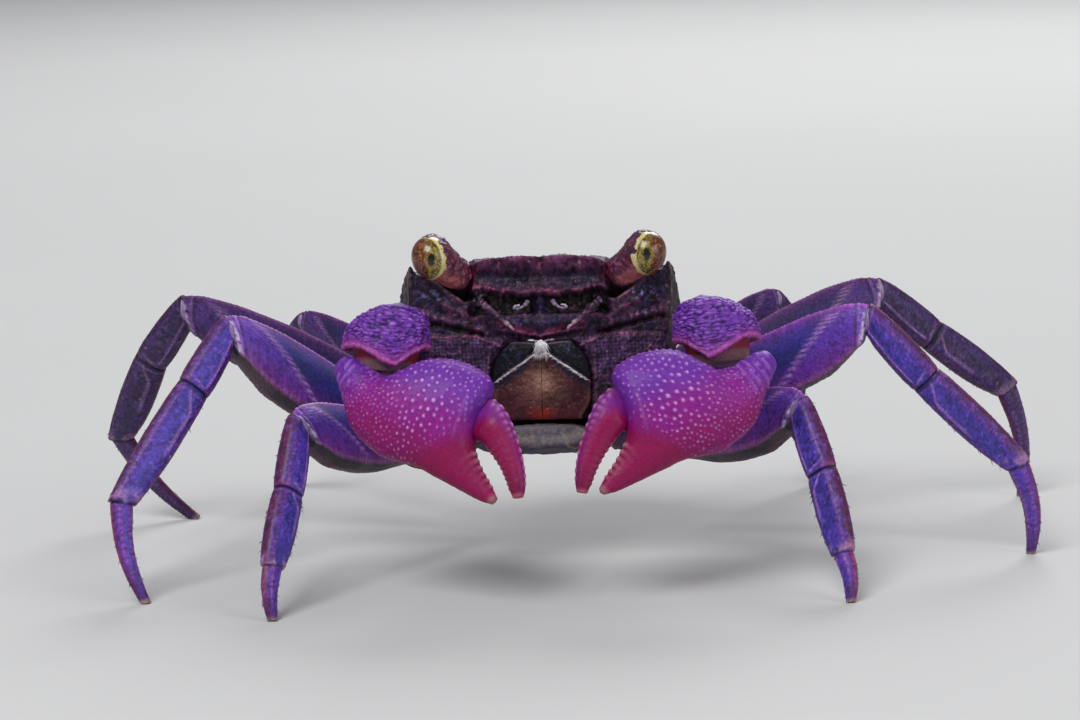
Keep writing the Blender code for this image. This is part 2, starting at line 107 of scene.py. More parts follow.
def hashed(cell, seed):
    """A number from 0 to 1 for each whole-numbered cell."""
    big = cell.astype(np.int64)
    mixed = big[..., 0] * 374761393 + big[..., 1] * 668265263 + big[..., 2] * 362437 + seed * 69069
    mixed &= 0xFFFFFFFF
    mixed = ((mixed ^ (mixed >> 13)) * 1274126177) & 0xFFFFFFFF
    mixed = ((mixed ^ (mixed >> 16)) * 2246822519) & 0xFFFFFFFF
    return ((mixed >> 8) & 0xFFFF) / 65535.0


def noise(points, size, seed=0):
    """Smooth noise from 0 to 1 in lumps of about this size."""
    place = np.asarray(points, float) / size
    cell = np.floor(place)
    inside = ease(place - cell)
    total = 0.0
    for corner in np.ndindex(2, 2, 2):
        corner = np.array(corner)
        weight = np.prod(np.where(corner, inside, 1.0 - inside), axis=-1)
        total = total + weight * hashed(cell + corner, seed)
    return total


def rough_noise(points, size, seed=0):
    """Three sizes of noise together, from 0 to 1."""
    return (0.55 * noise(points, size, seed) + 0.3 * noise(points, size / 2.1, seed + 1)
            + 0.15 * noise(points, size / 4.3, seed + 2))


def cells(points, size, seed=0):
    """Distance to the nearest and second nearest of scattered seeds, and that seed's number."""
    place = np.asarray(points, float) / size
    base = np.floor(place)
    near = np.full(place.shape[:-1], 9.0)
    second = near.copy()
    number = np.zeros_like(near)
    for step in np.ndindex(3, 3, 3):
        cell = base + (np.array(step) - 1)
        away = np.zeros_like(near)
        for axis in range(3):
            seed_at = cell[..., axis] + 0.15 + 0.7 * hashed(cell, seed + 17 * axis)
            away += (place[..., axis] - seed_at) ** 2
        closer = away < near
        second = np.where(closer, near, np.minimum(second, away))
        number = np.where(closer, hashed(cell, seed + 91), number)
        near = np.where(closer, away, near)
    return np.sqrt(near), np.sqrt(second), number


def scales(points, size, seed):
    """Scales with grooves between them: 0 in a groove, 1 on a scale."""
    near, second, _ = cells(points, size, seed)
    return above(second, near, 0.35)


# ---------------------------------------------------------------- measuring the frame


def poles(name):
    """The two ends of a loft's axis: its vertices with the most neighbours."""
    mesh = nodes[name].data
    places = np.array([v.co for v in mesh.vertices], float) / MM
    ids = {}
    index = [ids.setdefault(tuple(np.round(p, 3)), len(ids)) for p in places]
    found = np.zeros((len(ids), 3))
    for k, place in zip(index, places):
        found[k] = place
    joined = [set() for _ in ids]
    for edge in mesh.edges:
        a, b = (index[v] for v in edge.vertices)
        if a != b:
            joined[a].add(b)
            joined[b].add(a)
    order = sorted(range(len(ids)), key=lambda k: -len(joined[k]))
    return found[order[0]], found[order[1]]


def nearer_first(pair, place):
    """The two points, the one nearer to the place first."""
    a, b = pair
    return (a, b) if np.linalg.norm(a - place) < np.linalg.norm(b - place) else (b, a)


def crossing(a, b, c, d):
    """Where the line through a and b comes nearest to the line through c and d."""
    u, v, w = b - a, d - c, a - c
    uu, uv, vv, uw, vw = u @ u, u @ v, v @ v, u @ w, v @ w
    s = (uv * vw - vv * uw) / (uu * vv - uv * uv)
    t = (uu * vw - uv * uw) / (uu * vv - uv * uv)
    return (a + u * s + c + v * t) / 2


# The carapace loft ends at these places of the body's own frame (back, up).
FRONT_POLE = (2.433, -5.1)
REAR_POLE = (12.85, -3.4)


def measure_body():
    """Origin, backward and upward vectors of the body's frame."""
    rear, front = sorted(poles("carapace"), key=lambda p: -p[1])
    own = math.atan2(REAR_POLE[1] - FRONT_POLE[1], REAR_POLE[0] - FRONT_POLE[0])
    seen = math.atan2(rear[2] - front[2], rear[1] - front[1])
    pitch = own - seen
    back = np.array([0.0, math.cos(pitch), -math.sin(pitch)])
    up = np.array([0.0, math.sin(pitch), math.cos(pitch)])
    return rear - back * REAR_POLE[0] - up * REAR_POLE[1], back, up


BODY_ORIGIN, BODY_BACK, BODY_UP = measure_body()


def body_points(x, back, up):
    """Points of the body's frame, placed in the row frame."""
    x, back, up = np.broadcast_arrays(x, back, up)
    return moved(BODY_ORIGIN, (X_AXIS, x), (BODY_BACK, back), (BODY_UP, up))


# ---------------------------------------------------------------- materials


def new_material(name):
    """A node material, its tree and its shader."""
    made = bpy.data.materials.new(name)
    made.use_nodes = True
    return made, made.node_tree, made.node_tree.nodes["Principled BSDF"]


def add_node(tree, kind, inputs=(), **settings):
    """A shader node with these input values and settings."""
    added = tree.nodes.new("ShaderNode" + kind)
    for key, value in settings.items():
        setattr(added, key, value)
    for key, value in dict(inputs).items():
        added.inputs[key].default_value = value
    return added


def finish(name, grain, grain_size, pore, pore_size, gloss, coat, shift, shift_size):
    """A node material over the tint attribute: mottling, grain, pores, and broken-up gloss."""
    made, tree, shader = new_material(name)
    link = tree.links.new
    node = functools.partial(add_node, tree)

    def limits(source, low, high, bottom, top):
        ramp = node("MapRange", {"From Min": low, "From Max": high,
                                 "To Min": bottom, "To Max": top})
        link(source, ramp.inputs["Value"])
        return ramp.outputs["Result"]

    def multiplied(colour, other, share):
        mixed = node("Mix", data_type="RGBA", blend_type="MULTIPLY")
        link(colour, mixed.inputs["A"])
        for socket, value in (("B", other), ("Factor", share)):
            if isinstance(value, bpy.types.NodeSocket):
                link(value, mixed.inputs[socket])
            else:
                mixed.inputs[socket].default_value = value
        return mixed.outputs["Result"]

    place = node("TexCoord").outputs["Object"]
    tint = node("Attribute", attribute_name="tint").outputs["Color"]
    fine = node("TexNoise", {"Scale": 1 / (grain_size * MM), "Detail": 5.0, "Roughness": 0.62})
    broad = node("TexNoise", {"Scale": 1 / (shift_size * MM), "Detail": 3.0})
    pores = node("TexVoronoi", {"Scale": 1 / (pore_size * MM)})
    for texture in (fine, broad, pores):
        link(place, texture.inputs["Vector"])
    fine = fine.outputs["Fac"]
    colour = multiplied(tint, limits(fine, 0.3, 0.7, 1 - grain, 1 + grain), 1.0)
    share = limits(broad.outputs["Fac"], 0.48, 0.72, 0.0, 0.55)
    link(multiplied(colour, (*shift, 1.0), share), shader.inputs["Base Color"])
    height = node("Math", {1: 0.6}, operation="MULTIPLY_ADD")
    link(fine, height.inputs[0])
    link(limits(pores.outputs["Distance"], 0.0, 0.35, 0.0, 1.0), height.inputs[2])
    bump = node("Bump", {"Strength": 0.55, "Distance": pore * MM})
    link(height.outputs["Value"], bump.inputs["Height"])
    link(bump.outputs["Normal"], shader.inputs["Normal"])
    link(limits(fine, 0.0, 1.0, gloss * 0.75, gloss * 1.3), shader.inputs["Roughness"])
    shader.inputs["Specular IOR Level"].default_value = 0.25 if coat < 0.08 else 0.45
    shader.inputs["Coat Weight"].default_value = coat
    shader.inputs["Coat Roughness"].default_value = 0.16
    return made


# Each finish: strength and size of its grain, depth and size of its pores, gloss, coat, and the
# second colour with the size of its patches.
FINISHES = {name: finish(name, *values) for name, *values in (
    ("shell", 0.5, 0.14, 0.035, 0.11, 0.52, 0.06, (0.5, 0.35, 0.5), 0.9),
    ("leg", 0.38, 0.13, 0.03, 0.10, 0.5, 0.08, (0.5, 0.5, 0.9), 1.2),
    ("leg_rear", 0.4, 0.13, 0.03, 0.10, 0.52, 0.05, (0.6, 0.5, 0.7), 1.2),
    ("claw", 0.26, 0.12, 0.02, 0.10, 0.5, 0.06, (0.8, 0.65, 0.9), 1.6),
    ("claw_wrist", 0.3, 0.12, 0.02, 0.09, 0.48, 0.07, (0.7, 0.6, 0.9), 1.2),
    ("finger", 0.26, 0.15, 0.018, 0.10, 0.46, 0.07, (0.8, 0.6, 0.7), 1.2),
    ("mouth", 0.45, 0.12, 0.026, 0.08, 0.5, 0.06, (0.6, 0.5, 0.5), 0.7),
    ("belly", 0.4, 0.16, 0.03, 0.12, 0.55, 0.05, (0.6, 0.55, 0.6), 0.9),
    ("stalk", 0.34, 0.10, 0.022, 0.08, 0.38, 0.2, (0.7, 0.4, 0.55), 0.5),
    ("cornea", 0.25, 0.06, 0.004, 0.05, 0.24, 0.4, (0.8, 0.6, 0.4), 0.35),
    ("antenna", 0.3, 0.08, 0.01, 0.06, 0.42, 0.1, (0.6, 0.5, 0.6), 0.3),
    ("bristle", 0.3, 0.2, 0.003, 0.1, 0.42, 0.0, (0.6, 0.5, 0.5), 1.0),
    ("membrane", 0.25, 0.12, 0.012, 0.08, 0.4, 0.15, (0.8, 0.7, 0.8), 0.5),
)}

# ---------------------------------------------------------------- meshes

# Rows and columns of the fine grids.
GRIDS = {
    "hip": (36, 48), "joint_skin": (12, 20), "palm": (260, 300), "finger": (112, 96),
    "upper_arm": (64, 80), "face": (170, 380), "mouth": (160, 120), "cornea": (90, 120),
    "rod": (72, 24),
}
LEG_ROW = 0.1  # distance between the rows of a leg segment
DARKEST = 0.0005  # no channel of a tint is darker


def in_scene(name, data):
    """An object of the scene that shows this data."""
    made = bpy.data.objects.new(name, data)
    bpy.context.scene.collection.objects.link(made)
    return made


def grid_faces(rows, columns, closed=True):
    """Quads of a grid of points, counted row by row."""
    row, column = np.meshgrid(np.arange(rows - 1), np.arange(columns if closed else columns - 1),
                              indexing="ij")
    here, beside = row * columns + column, row * columns + (column + 1) % columns
    return np.stack([here, beside, beside + columns, here + columns], axis=-1).reshape(-1, 4)


def surface_normals(points):
    """Outward unit normals of a grid of points that wraps round an axis."""
    around = np.roll(points, -1, axis=1) - np.roll(points, 1, axis=1)
    found = unit(np.cross(around, np.gradient(points, axis=0)))
    if np.sum((points - points.mean(axis=1, keepdims=True)) * found) < 0:
        found = -found
    return found


def raised(points, lift):
    """A grid of points moved outward by its relief."""
    return points + surface_normals(points) * lift[..., None]


def make(name, points, faces, tint, look, stands_for=(), tris=None):
    """A piece from points, quads and triangles, a colour for each point, and its finish."""
    mesh = bpy.data.meshes.new(name)
    tris = np.zeros((0, 3), int) if tris is None else tris
    corners = np.concatenate([faces.ravel(), tris.ravel()])
    starts = np.concatenate([np.arange(len(faces)) * 4, faces.size + np.arange(len(tris)) * 3])
    mesh.vertices.add(len(points))
    mesh.vertices.foreach_set("co", (points * MM).astype(np.float32).ravel())
    mesh.loops.add(len(corners))
    mesh.loops.foreach_set("vertex_index", corners.astype(np.int32))
    mesh.polygons.add(len(starts))
    mesh.polygons.foreach_set("loop_start", starts.astype(np.int32))
    mesh.update(calc_edges=True)
    mesh.polygons.foreach_set("use_smooth", np.ones(len(starts), bool))
    layer = mesh.attributes.new("tint", "FLOAT_COLOR", "POINT")
    rgba = np.ones((len(points), 4), np.float32)
    rgba[:, :3] = np.clip(tint, DARKEST, 1.0)
    layer.data.foreach_set("color", rgba.ravel())
    mesh.materials.append(FINISHES[look])
    mesh.validate()
    made = in_scene(name, mesh)
    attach(made, "root")
    if stands_for:
        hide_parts(*stands_for)
    return made


def tube(node, points, tint, look, ends=None, stands=True, name=None, open_start=False):
    """A piece that stands for a node, from rings of points, with a fan at each closed end."""
    rows, columns = points.shape[:2]
    if ends is None:
        ends = (points[0].mean(axis=0), points[-1].mean(axis=0))
    step = np.arange(columns)
    after = (step + 1) % columns
    faces = grid_faces(rows, columns)
    flat, colours, tris = [points.reshape(-1, 3)], [tint.reshape(-1, 3)], []
    for end, one, two in ((0, after, step), (-1, step, after))[int(open_start):]:
        tip = np.full(columns, rows * columns + len(tris))
        ring = (rows - 1) * columns if end else 0
        tris.append(np.stack([tip, ring + one, ring + two], axis=-1))
        flat.append([ends[end]])
        colours.append([tint[end].mean(axis=0)])
    tris = np.concatenate(tris)
    middle = rows // 2
    around = points[middle, 1] - points[middle, 0]
    ahead = points[middle + 1, 0] - points[middle - 1, 0]
    out = points[middle, 0] - points[middle].mean(axis=0)
    if np.dot(np.cross(around, ahead), out) < 0:
        faces, tris = faces[:, ::-1], tris[:, ::-1]
    make(name or f"{node}_skin", np.concatenate(flat), faces, np.concatenate(colours), look,
         (node,) if stands else (), tris)


def smooth_rows(rows, places):
    """Rows of numbers read smoothly between their first column's values (a monotone cubic)."""
    rows = np.asarray(rows, float)
    t, values = rows[:, 0], rows[:, 1:]
    slope = np.diff(values, axis=0) / np.diff(t)[:, None]
    tangent = np.zeros_like(values)
    before, after = slope[:-1], slope[1:]
    same = before * after > 0
    tangent[1:-1] = np.where(same, 2 * before * after / np.where(same, before + after, 1.0), 0.0)
    tangent[0], tangent[-1] = slope[0], slope[-1]
    k = np.clip(np.searchsorted(t, places, side="right") - 1, 0, len(t) - 2)
    width = np.diff(t)[k][:, None]
    s = (places - t[k])[:, None] / width
    return ((2 * s ** 3 - 3 * s ** 2 + 1) * values[k]
            + (s ** 3 - 2 * s ** 2 + s) * width * tangent[k]
            + (3 * s ** 2 - 2 * s ** 3) * values[k + 1]
            + (s ** 3 - s ** 2) * width * tangent[k + 1])


def spline(ring, place):
    """A smooth curve through a closed ring of points, read at places counted along them."""
    k = np.floor(place).astype(int)
    s = (place - k)[:, None]
    p0, p1, p2, p3 = (ring[(k + d) % len(ring)] for d in (-1, 0, 1, 2))
    return 0.5 * (2 * p1 + (p2 - p0) * s + (2 * p0 - 5 * p1 + 4 * p2 - p3) * s ** 2
                  + (3 * p1 - p0 - 3 * p2 + p3) * s ** 3)


def outline(half, sides):
    """A closed outline through these right-hand points and their mirror images: rows of x, y
    and the place g along the control points, counted from 0 at the top down the front side."""
    half = np.asarray(half, float)
    ring = np.concatenate([half, half[-2:0:-1] * [-1, 1]])
    g = np.linspace(0, len(ring), sides * 6, endpoint=False)
    fine = spline(ring, g)
    length = np.linalg.norm(np.roll(fine, -1, axis=0) - fine, axis=1)
    reach = np.concatenate([[0], np.cumsum(length)])
    even = np.linspace(0, reach[-1], sides, endpoint=False)
    closed = np.column_stack([np.vstack([fine, fine[:1]]), np.append(g, len(ring))])
    return [np.interp(even, reach, values)[None] for values in closed.T]


def superellipse(sides, fullness):
    """A row of places x and y round a rounded box of half size 1, from the top."""
    angle = math.pi / 2 + 2 * math.pi * np.arange(sides)[None] / sides
    x, y = np.cos(angle), np.sin(angle)
    return np.sign(x) * np.abs(x) ** fullness, np.sign(y) * np.abs(y) ** fullness


def circle(count):
    """A row of angles round a full turn."""
    return np.linspace(0, 2 * math.pi, count, endpoint=False)[None]


def swept(centres, side, up, x, y):
    """Rings about centres: x to the side and y upward, each a size for every row and place."""
    side, up = np.atleast_2d(side, up)
    return moved(centres[:, None], (side[:, None], x), (up[:, None], y))


# ---------------------------------------------------------------- walking legs

JOINT_GAP = 0.2
HIP_BEND = 1.5
HIP_TAPER = 0.7
HIP_INWARD = 0.9  # how far the scene's hips reach in under the body beyond the solids
HIP_GROOVE = 0.52  # where the groove between coxa and ischium lies along a hip
SKIN_GAP = 0.02
MITRE = 0.35  # share of a segment over which its end turns towards the next one
LEG_NAMES = ("merus", "carpus", "propodus", "dactylus")
LEG_GIRTHS = (1.0, 1.03, 1.06, 0.78)
# Leg segments: share of the length, upper and lower half height, half width.
LEG_PROFILES = {
    "merus": (
        (0.0, 0.85, 0.85, 0.60), (0.14, 1.25, 1.20, 0.75), (0.32, 1.55, 1.65, 0.85),
        (0.52, 1.70, 1.85, 0.86), (0.72, 1.62, 1.80, 0.82), (0.88, 1.24, 1.46, 0.78),
        (1.0, 0.62, 0.95, 0.64),
    ),
    "carpus": (
        (0.0, 0.70, 0.60, 0.52), (0.22, 0.88, 0.74, 0.60), (0.5, 0.94, 0.84, 0.64),
        (0.8, 0.94, 0.90, 0.62), (1.0, 0.86, 0.86, 0.56),
    ),
    "propodus": (
        (0.0, 0.86, 0.84, 0.55), (0.15, 0.94, 0.90, 0.58), (0.45, 0.97, 0.93, 0.58),
        (0.75, 0.89, 0.83, 0.54), (1.0, 0.70, 0.64, 0.46),
    ),
    "dactylus": (
        (0.0, 0.58, 0.54, 0.42), (0.2, 0.55, 0.50, 0.42), (0.45, 0.47, 0.42, 0.37),
        (0.7, 0.39, 0.35, 0.32), (0.9, 0.30, 0.28, 0.28), (1.0, 0.26, 0.26, 0.26),
    ),
}
DACTYLUS_BOW = 0.075
# Cross-sections, from the top down the front side to the bottom, in shares of the half sizes.
BLADE = ((0, 1.0), (0.32, 0.80), (0.72, 0.40), (0.97, -0.12), (0.97, -0.74), (0.5, -0.95),
         (0, -1.0))
BOX = ((0, 1.0), (0.55, 0.90), (0.94, 0.52), (1.0, 0.0), (0.92, -0.56), (0.52, -0.93), (0, -1.0))
ROUND = ((0, 1.0), (0.5, 0.87), (0.87, 0.5), (1.0, 0.0), (0.87, -0.5), (0.5, -0.87), (0, -1.0))
LEG_SECTIONS = {"merus": BLADE, "carpus": BOX, "propodus": BOX, "dactylus": ROUND}
LEG_SIDES = {"merus": 92, "carpus": 62, "propodus": 62, "dactylus": 44}
EDGE = 4.0  # control point of the lower edge of a section
TURN = 12.0  # control points in a whole section
FLAT = 2.9  # control point of the middle of a flat side
GREY = np.array([0.2126, 0.7152, 0.0722])
REAR_GREY, REAR_SHADE = (1.35, 0.8, 1.4), 0.66

# (root, direction, length, width, place on the unrolled skin) of each bristle
BRISTLES = []
LEG_ISLANDS = 24  # strips of the unrolled skins: three bristly segments on each of eight legs


def from_top(g):
    """Control points from the upper edge of a section, down either side."""
    return np.minimum(g, TURN - g)


def leg_joints(label):
    """The five joints of a leg, and the vector across its plane towards the front."""
    near, far = nearer_first(poles(f"{label}_merus"), BODY_ORIGIN + BODY_BACK * 6)
    lines = [(near, far)]
    for part in LEG_NAMES[1:]:
        lines.append(nearer_first(poles(f"{label}_{part}"), lines[-1][1]))
    joints = [near - unit(far - near) * (JOINT_GAP / 2 + 0.04)]
    joints += [crossing(*one, *two) for one, two in zip(lines, lines[1:])]
    joints.append(lines[-1][1])
    across = unit(np.cross(joints[1] - joints[0], joints[3] - joints[1]))
    return joints, -across if across[1] > 0 else across


def leg_grid(joints, across, part, girth):
    """The plain surface of a leg segment: points, t along it, g round it, and its length."""
    k = LEG_NAMES.index(part)
    start, end = joints[k], joints[k + 1]
    length = np.linalg.norm(end - start)
    along = unit(end - start)
    handed = np.sign(np.cross(across, unit(joints[1] - joints[0]))[2])
    upward = np.cross(across, along) * handed

    def rise(a, b):
        way = unit(joints[b] - joints[a])
        return math.atan2(way @ upward, way @ along)

    foot = part == "dactylus"
    before = math.tan(-rise(k - 1, k) / 2) if k else 0.0
    after = -math.tan(rise(k + 1, k + 2) / 2) if not foot else 0.0
    t = np.linspace(0, 1, max(26, int(length / LEG_ROW)))
    profile = smooth_rows(LEG_PROFILES[part], t) * girth
    x, y, g = outline(LEG_SECTIONS[part], LEG_SIDES[part])
    first_gap = JOINT_GAP / 2 if k == 0 else SKIN_GAP
    reach = first_gap + t * (length - first_gap - (0.0 if foot else SKIN_GAP))
    bow = DACTYLUS_BOW * length * np.sin(math.pi * t) if foot else 0.0 * t
    skew = before * ease(1 - t / MITRE) + after * ease(1 - (1 - t) / MITRE)
    high = np.where(y > 0, profile[:, 0:1], profile[:, 1:2]) * y
    points = moved(start, (along, reach[:, None] + high * skew[:, None]),
                   (across, profile[:, 2:3] * x), (upward, high + bow[:, None]))
    t_grid, g_grid = np.meshgrid(t, g, indexing="ij")
    return points, t_grid, g_grid, length


def beads(t, spacing, seed, length):
    """Beads of uneven height along a segment: 0 between them, up to 1 on top."""
    place = t * length / spacing + 0.2 * np.sin(t * 31.0 + seed)
    number = np.floor(place)
    tall = 0.55 + 0.45 * hashed(np.stack([number, number * 0, number * 0], -1), seed)
    return tall * np.sin(math.pi * (place - number)) ** 2


def merus_look(points, t, g, length, seed):
    """Relief and colours of a merus: beaded crest, striae, distal line, dark underside, and a pale
    knee patch that is partly painted highlight.
    """
    top = from_top(g)
    bead = beads(t, 0.24, seed, length)
    crest = bell(top, 0.30) * ease(t / 0.1)
    edge = np.minimum(np.abs(g - EDGE), np.abs(TURN - g - EDGE))
    margin = bell(edge, 0.2)
    # a curved row of short striae crosses the outer half, from the crest to the lower edge
    centre = 0.84 - 0.045 * np.maximum(0.0, top - 0.6) ** 1.8
    row = band(t, centre, 0.05) * above(top, 0.5, 0.4) * below(top, EDGE - 0.1, 0.4)
    comb = 0.5 + 0.5 * np.sin((top * 5.0 - t * length * 1.1) * 4.4)
    scale = scales(points, 0.24, seed + 5)
    speck = rough_noise(points, 0.2, seed + 7)
    outer = ease((t - centre + 0.02) / 0.08)
    ring_place = 0.925 + 0.008 * top
    lift = (0.05 * crest * (0.5 + 0.9 * bead) + 0.045 * margin * (0.4 + 0.9 * bead)
            + 0.04 * row * comb + (0.008 + 0.02 * outer) * scale
            + 0.02 * band(t, ring_place + 0.02, 0.02) - 0.03 * bell(t - ring_place, 0.008))
    cloud = rough_noise(points, 1.1, seed + 9)
    under = above(top, EDGE, 0.2)
    # painted highlight: whitish speckles on the front of the knee, over pale joint skin
    knee = above(t, 0.965, 0.02) * above(top, 0.9, 0.8) * below(top, 4.4, 0.5)
    colour = paint(
        points, "352c8c", ("242868", above(cloud, 0.35, 0.3) * 0.8),
        ("26345e", below(t, 0.5, 0.3) * 0.45), ("6a3ab4", outer * 0.75),
        ("7c2c92", above(top, 2.6, 1.3) * 0.7), ("8a36a8", bell(top, 0.9) * 0.7),
        ("b65ab8", crest * (0.35 + 0.6 * bead)),
        ("3a1850", below(speck, 0.42, 0.1) * 0.55 * outer),
        ("c88ae0", row * comb * 0.8), ("a870d8", bell(t - ring_place - 0.012, 0.008) * 0.7),
        ("20143c", bell(t - ring_place, 0.007) * 0.7),
        ("2e2230", under), ("4c3a42", under * above(cloud, 0.45, 0.2) * 0.7),
        ("a0608e", margin * (0.3 + 0.6 * bead)), ("5c1640", above(top, 5.3, 0.5) * 0.7),
        ("d8c0e8", knee * above(speck, 0.35, 0.2) * 0.85),
        ("180c28", above(t, 0.99, 0.01) * 0.7))
    return lift, colour * (0.74 + 0.42 * scale + 0.3 * (speck - 0.5))[..., None]


def shank_look(points, t, g, length, seed, part):
    """Relief and colours of a carpus or propodus: ridges, pits, a pale line, magenta edges."""
    top = from_top(g)
    front = g < TURN / 2
    corner = np.minimum(np.abs(top - 1.6), np.abs(top - 4.5))
    bead = beads(t, 0.22, seed, length)
    scale = scales(points, 0.22, seed + 5)
    speck = rough_noise(points, 0.17, seed + 6)
    pit_near, _, pit_number = cells(points, 0.62, seed + 8)
    pit = bell(pit_near, 0.11) * (pit_number > 0.74)
    wart = bell(pit_near, 0.09) * (pit_number < 0.08)
    # a pale keel down the front that turns across the segment before its end
    if part == "carpus":
        down = bell(g - 3.65 - 0.25 * t, 0.10) * below(t, 0.93, 0.03) * ease(t / 0.08)
        line = np.maximum(down, bell(t - 0.93 - 0.03 * (g - 3), 0.012) * band(g, 2.9, 1.7)) * front
    else:
        turned = 2.4 + 1.35 * ease(t / 0.22)
        line = bell(g - turned, 0.11) * below(t, 0.62, 0.15) * above(t, 0.02, 0.03) * front
    rim = below(t, 0.035, 0.03) + above(t, 0.975, 0.02)
    lift = (0.03 * bell(corner, 0.3) * (0.3 + bead) * ease(t / 0.06) + 0.014 * scale - 0.05 * pit
            + 0.04 * line + 0.03 * wart + 0.02 * band(t, 0.95, 0.02))
    cloud = rough_noise(points, 1.0, seed + 9)
    away = np.abs(top - FLAT)
    colour = paint(
        points, "3e3298", ("5a3cb8", above(cloud, 0.4, 0.3) * 0.7),
        ("4c1c7c", above(away, 0.8, 0.7) * 0.85), ("60143e", above(away, 1.6, 0.8) * 0.85),
        ("24103a", below(speck, 0.43, 0.08) * 0.6), ("8c6ce0", above(speck, 0.62, 0.1) * 0.35),
        ("b04c9c", bell(corner, 0.16) * 0.55 * bead), ("c48ad8", line * 0.8),
        ("8a2a6c", band(t, 0.95, 0.03) * above(away, 0.5, 1.0) * 0.7),
        ("150a22", rim * 0.75), ("a86ac8", (band(t, 0.965, 0.012) + band(t, 0.05, 0.012)) * 0.45),
        ("170d24", pit * 0.9), ("e8ccd8", wart * 0.8))
    if part == "propodus":
        worn = above(t, 0.84, 0.14) * above(rough_noise(points, 0.45, seed + 2), 0.42, 0.15)
        colour += (tone("c496c4") - colour) * (worn * 0.5)[..., None]
    return lift, colour * (0.72 + 0.46 * scale)[..., None]


def dactylus_look(points, t, g, length, seed):
    """Relief and colours of a dactylus: six fine keels, magenta edges and a horny tip."""
    keel = (0.5 + 0.5 * np.cos(g * math.pi)) ** 2
    bead = beads(t + 0.03 * np.round(g / 2), 0.3, seed, length)
    scale = scales(points, 0.2, seed)
    speck = rough_noise(points, 0.17, seed + 3)
    lift = (0.035 * keel * (0.4 + 0.8 * bead) * below(t, 0.96, 0.2) * ease(t / 0.06)
            + 0.01 * scale)
    away = np.abs(from_top(g) - FLAT)
    colour = paint(
        points, "5a2f9c", ("4a3cae", bell(away, 1.1) * 0.6),
        ("7c1c50", above(away, 1.5, 0.9) * 0.85), ("1e0d30", below(speck, 0.43, 0.08) * 0.5),
        ("c464a8", keel * bead * below(t, 0.9, 0.2) * 0.6),
        ("4c1450", above(t, 0.55, 0.35) * 0.5), ("b49480", above(t, 0.94, 0.05) * 0.85))
    return lift, colour * (0.72 + 0.46 * scale)[..., None]


LEG_LOOKS = {
    "merus": merus_look,
    "carpus": functools.partial(shank_look, part="carpus"),
    "propodus": functools.partial(shank_look, part="propodus"),
    "dactylus": dactylus_look,
}
# Bristles of each segment: places round it, count at each place, shortest and longest.
LEG_BRISTLES = {
    "carpus": ((1.6, 10.4), 6, (0.10, 0.22)),
    "propodus": ((1.6, 4.6, 7.4, 10.4), 11, (0.12, 0.30)),
    "dactylus": ((0, 2, 4, 6, 8, 10), 9, (0.07, 0.18)),
}


def add_bristles(points, g, normals, places, count, lengths, seed, island):
    """Bristles in rows along a segment, at the given places round it, leaning to its tip."""
    draw = np.random.default_rng(seed)
    for place in places:
        column = int(np.argmin(np.abs(g[0] - place)))
        for _ in range(count):
            row = int(draw.uniform(0.06, 0.96) * (len(points) - 2))
            here = (column + draw.integers(-2, 3)) % points.shape[1]
            root = points[row, here]
            ahead = unit(points[row + 1, here] - root)
            way = unit(normals[row, here] + ahead * 0.9 + draw.normal(0, 0.18, 3))
            on_skin = ((island + (here + 0.5) / points.shape[1]) / LEG_ISLANDS, row / len(points))
            BRISTLES.append((root - way * 0.02, way, draw.uniform(*lengths),
                             0.018 + 0.012 * draw.random(), on_skin))


def leg(side, number):
    """The hip, four segments and bristles of one walking leg."""
    label = f"leg_{side}_{number}"
    joints, across = leg_joints(label)
    girth = LEG_GIRTHS[number - 1]
    rear = number > 2
    look = "leg_rear" if rear else "leg"
    for order, part in enumerate(LEG_NAMES):
        seed = number * 40 + order * 7 + (3 if side == "left" else 0)
        island = 3 * (number - 1 + 4 * (side == "right")) + order - 1
        points, t, g, length = leg_grid(joints, across, part, girth)
        normals = surface_normals(points)
        lift, colour = LEG_LOOKS[part](points, t, g, length, seed)
        if rear:
            # the rear legs are greyer, with dark middles
            grey = (colour @ GREY)[..., None] * REAR_GREY
            share = (0.45 + 0.35 * bell(from_top(g) - FLAT, 0.9) * (part != "merus"))[..., None]
            colour = (colour * (1 - share) + grey * share) * REAR_SHADE
        # the ends roll in, so that a rounded rim shows at each joint
        roll = above(t, 0.985, 0.015) * (part != "dactylus") + below(t, 0.012, 0.012)
        shaped = points + normals * (lift - 0.02 * roll)[..., None]
        shaped[..., 2] = np.maximum(shaped[..., 2], 0.0)
        tube(f"{label}_{part}", shaped, colour, look)
        if part in LEG_BRISTLES:
            add_bristles(shaped, g, normals, *LEG_BRISTLES[part], seed, island)
    hip(label, look, girth, across, joints)
    return joints, across


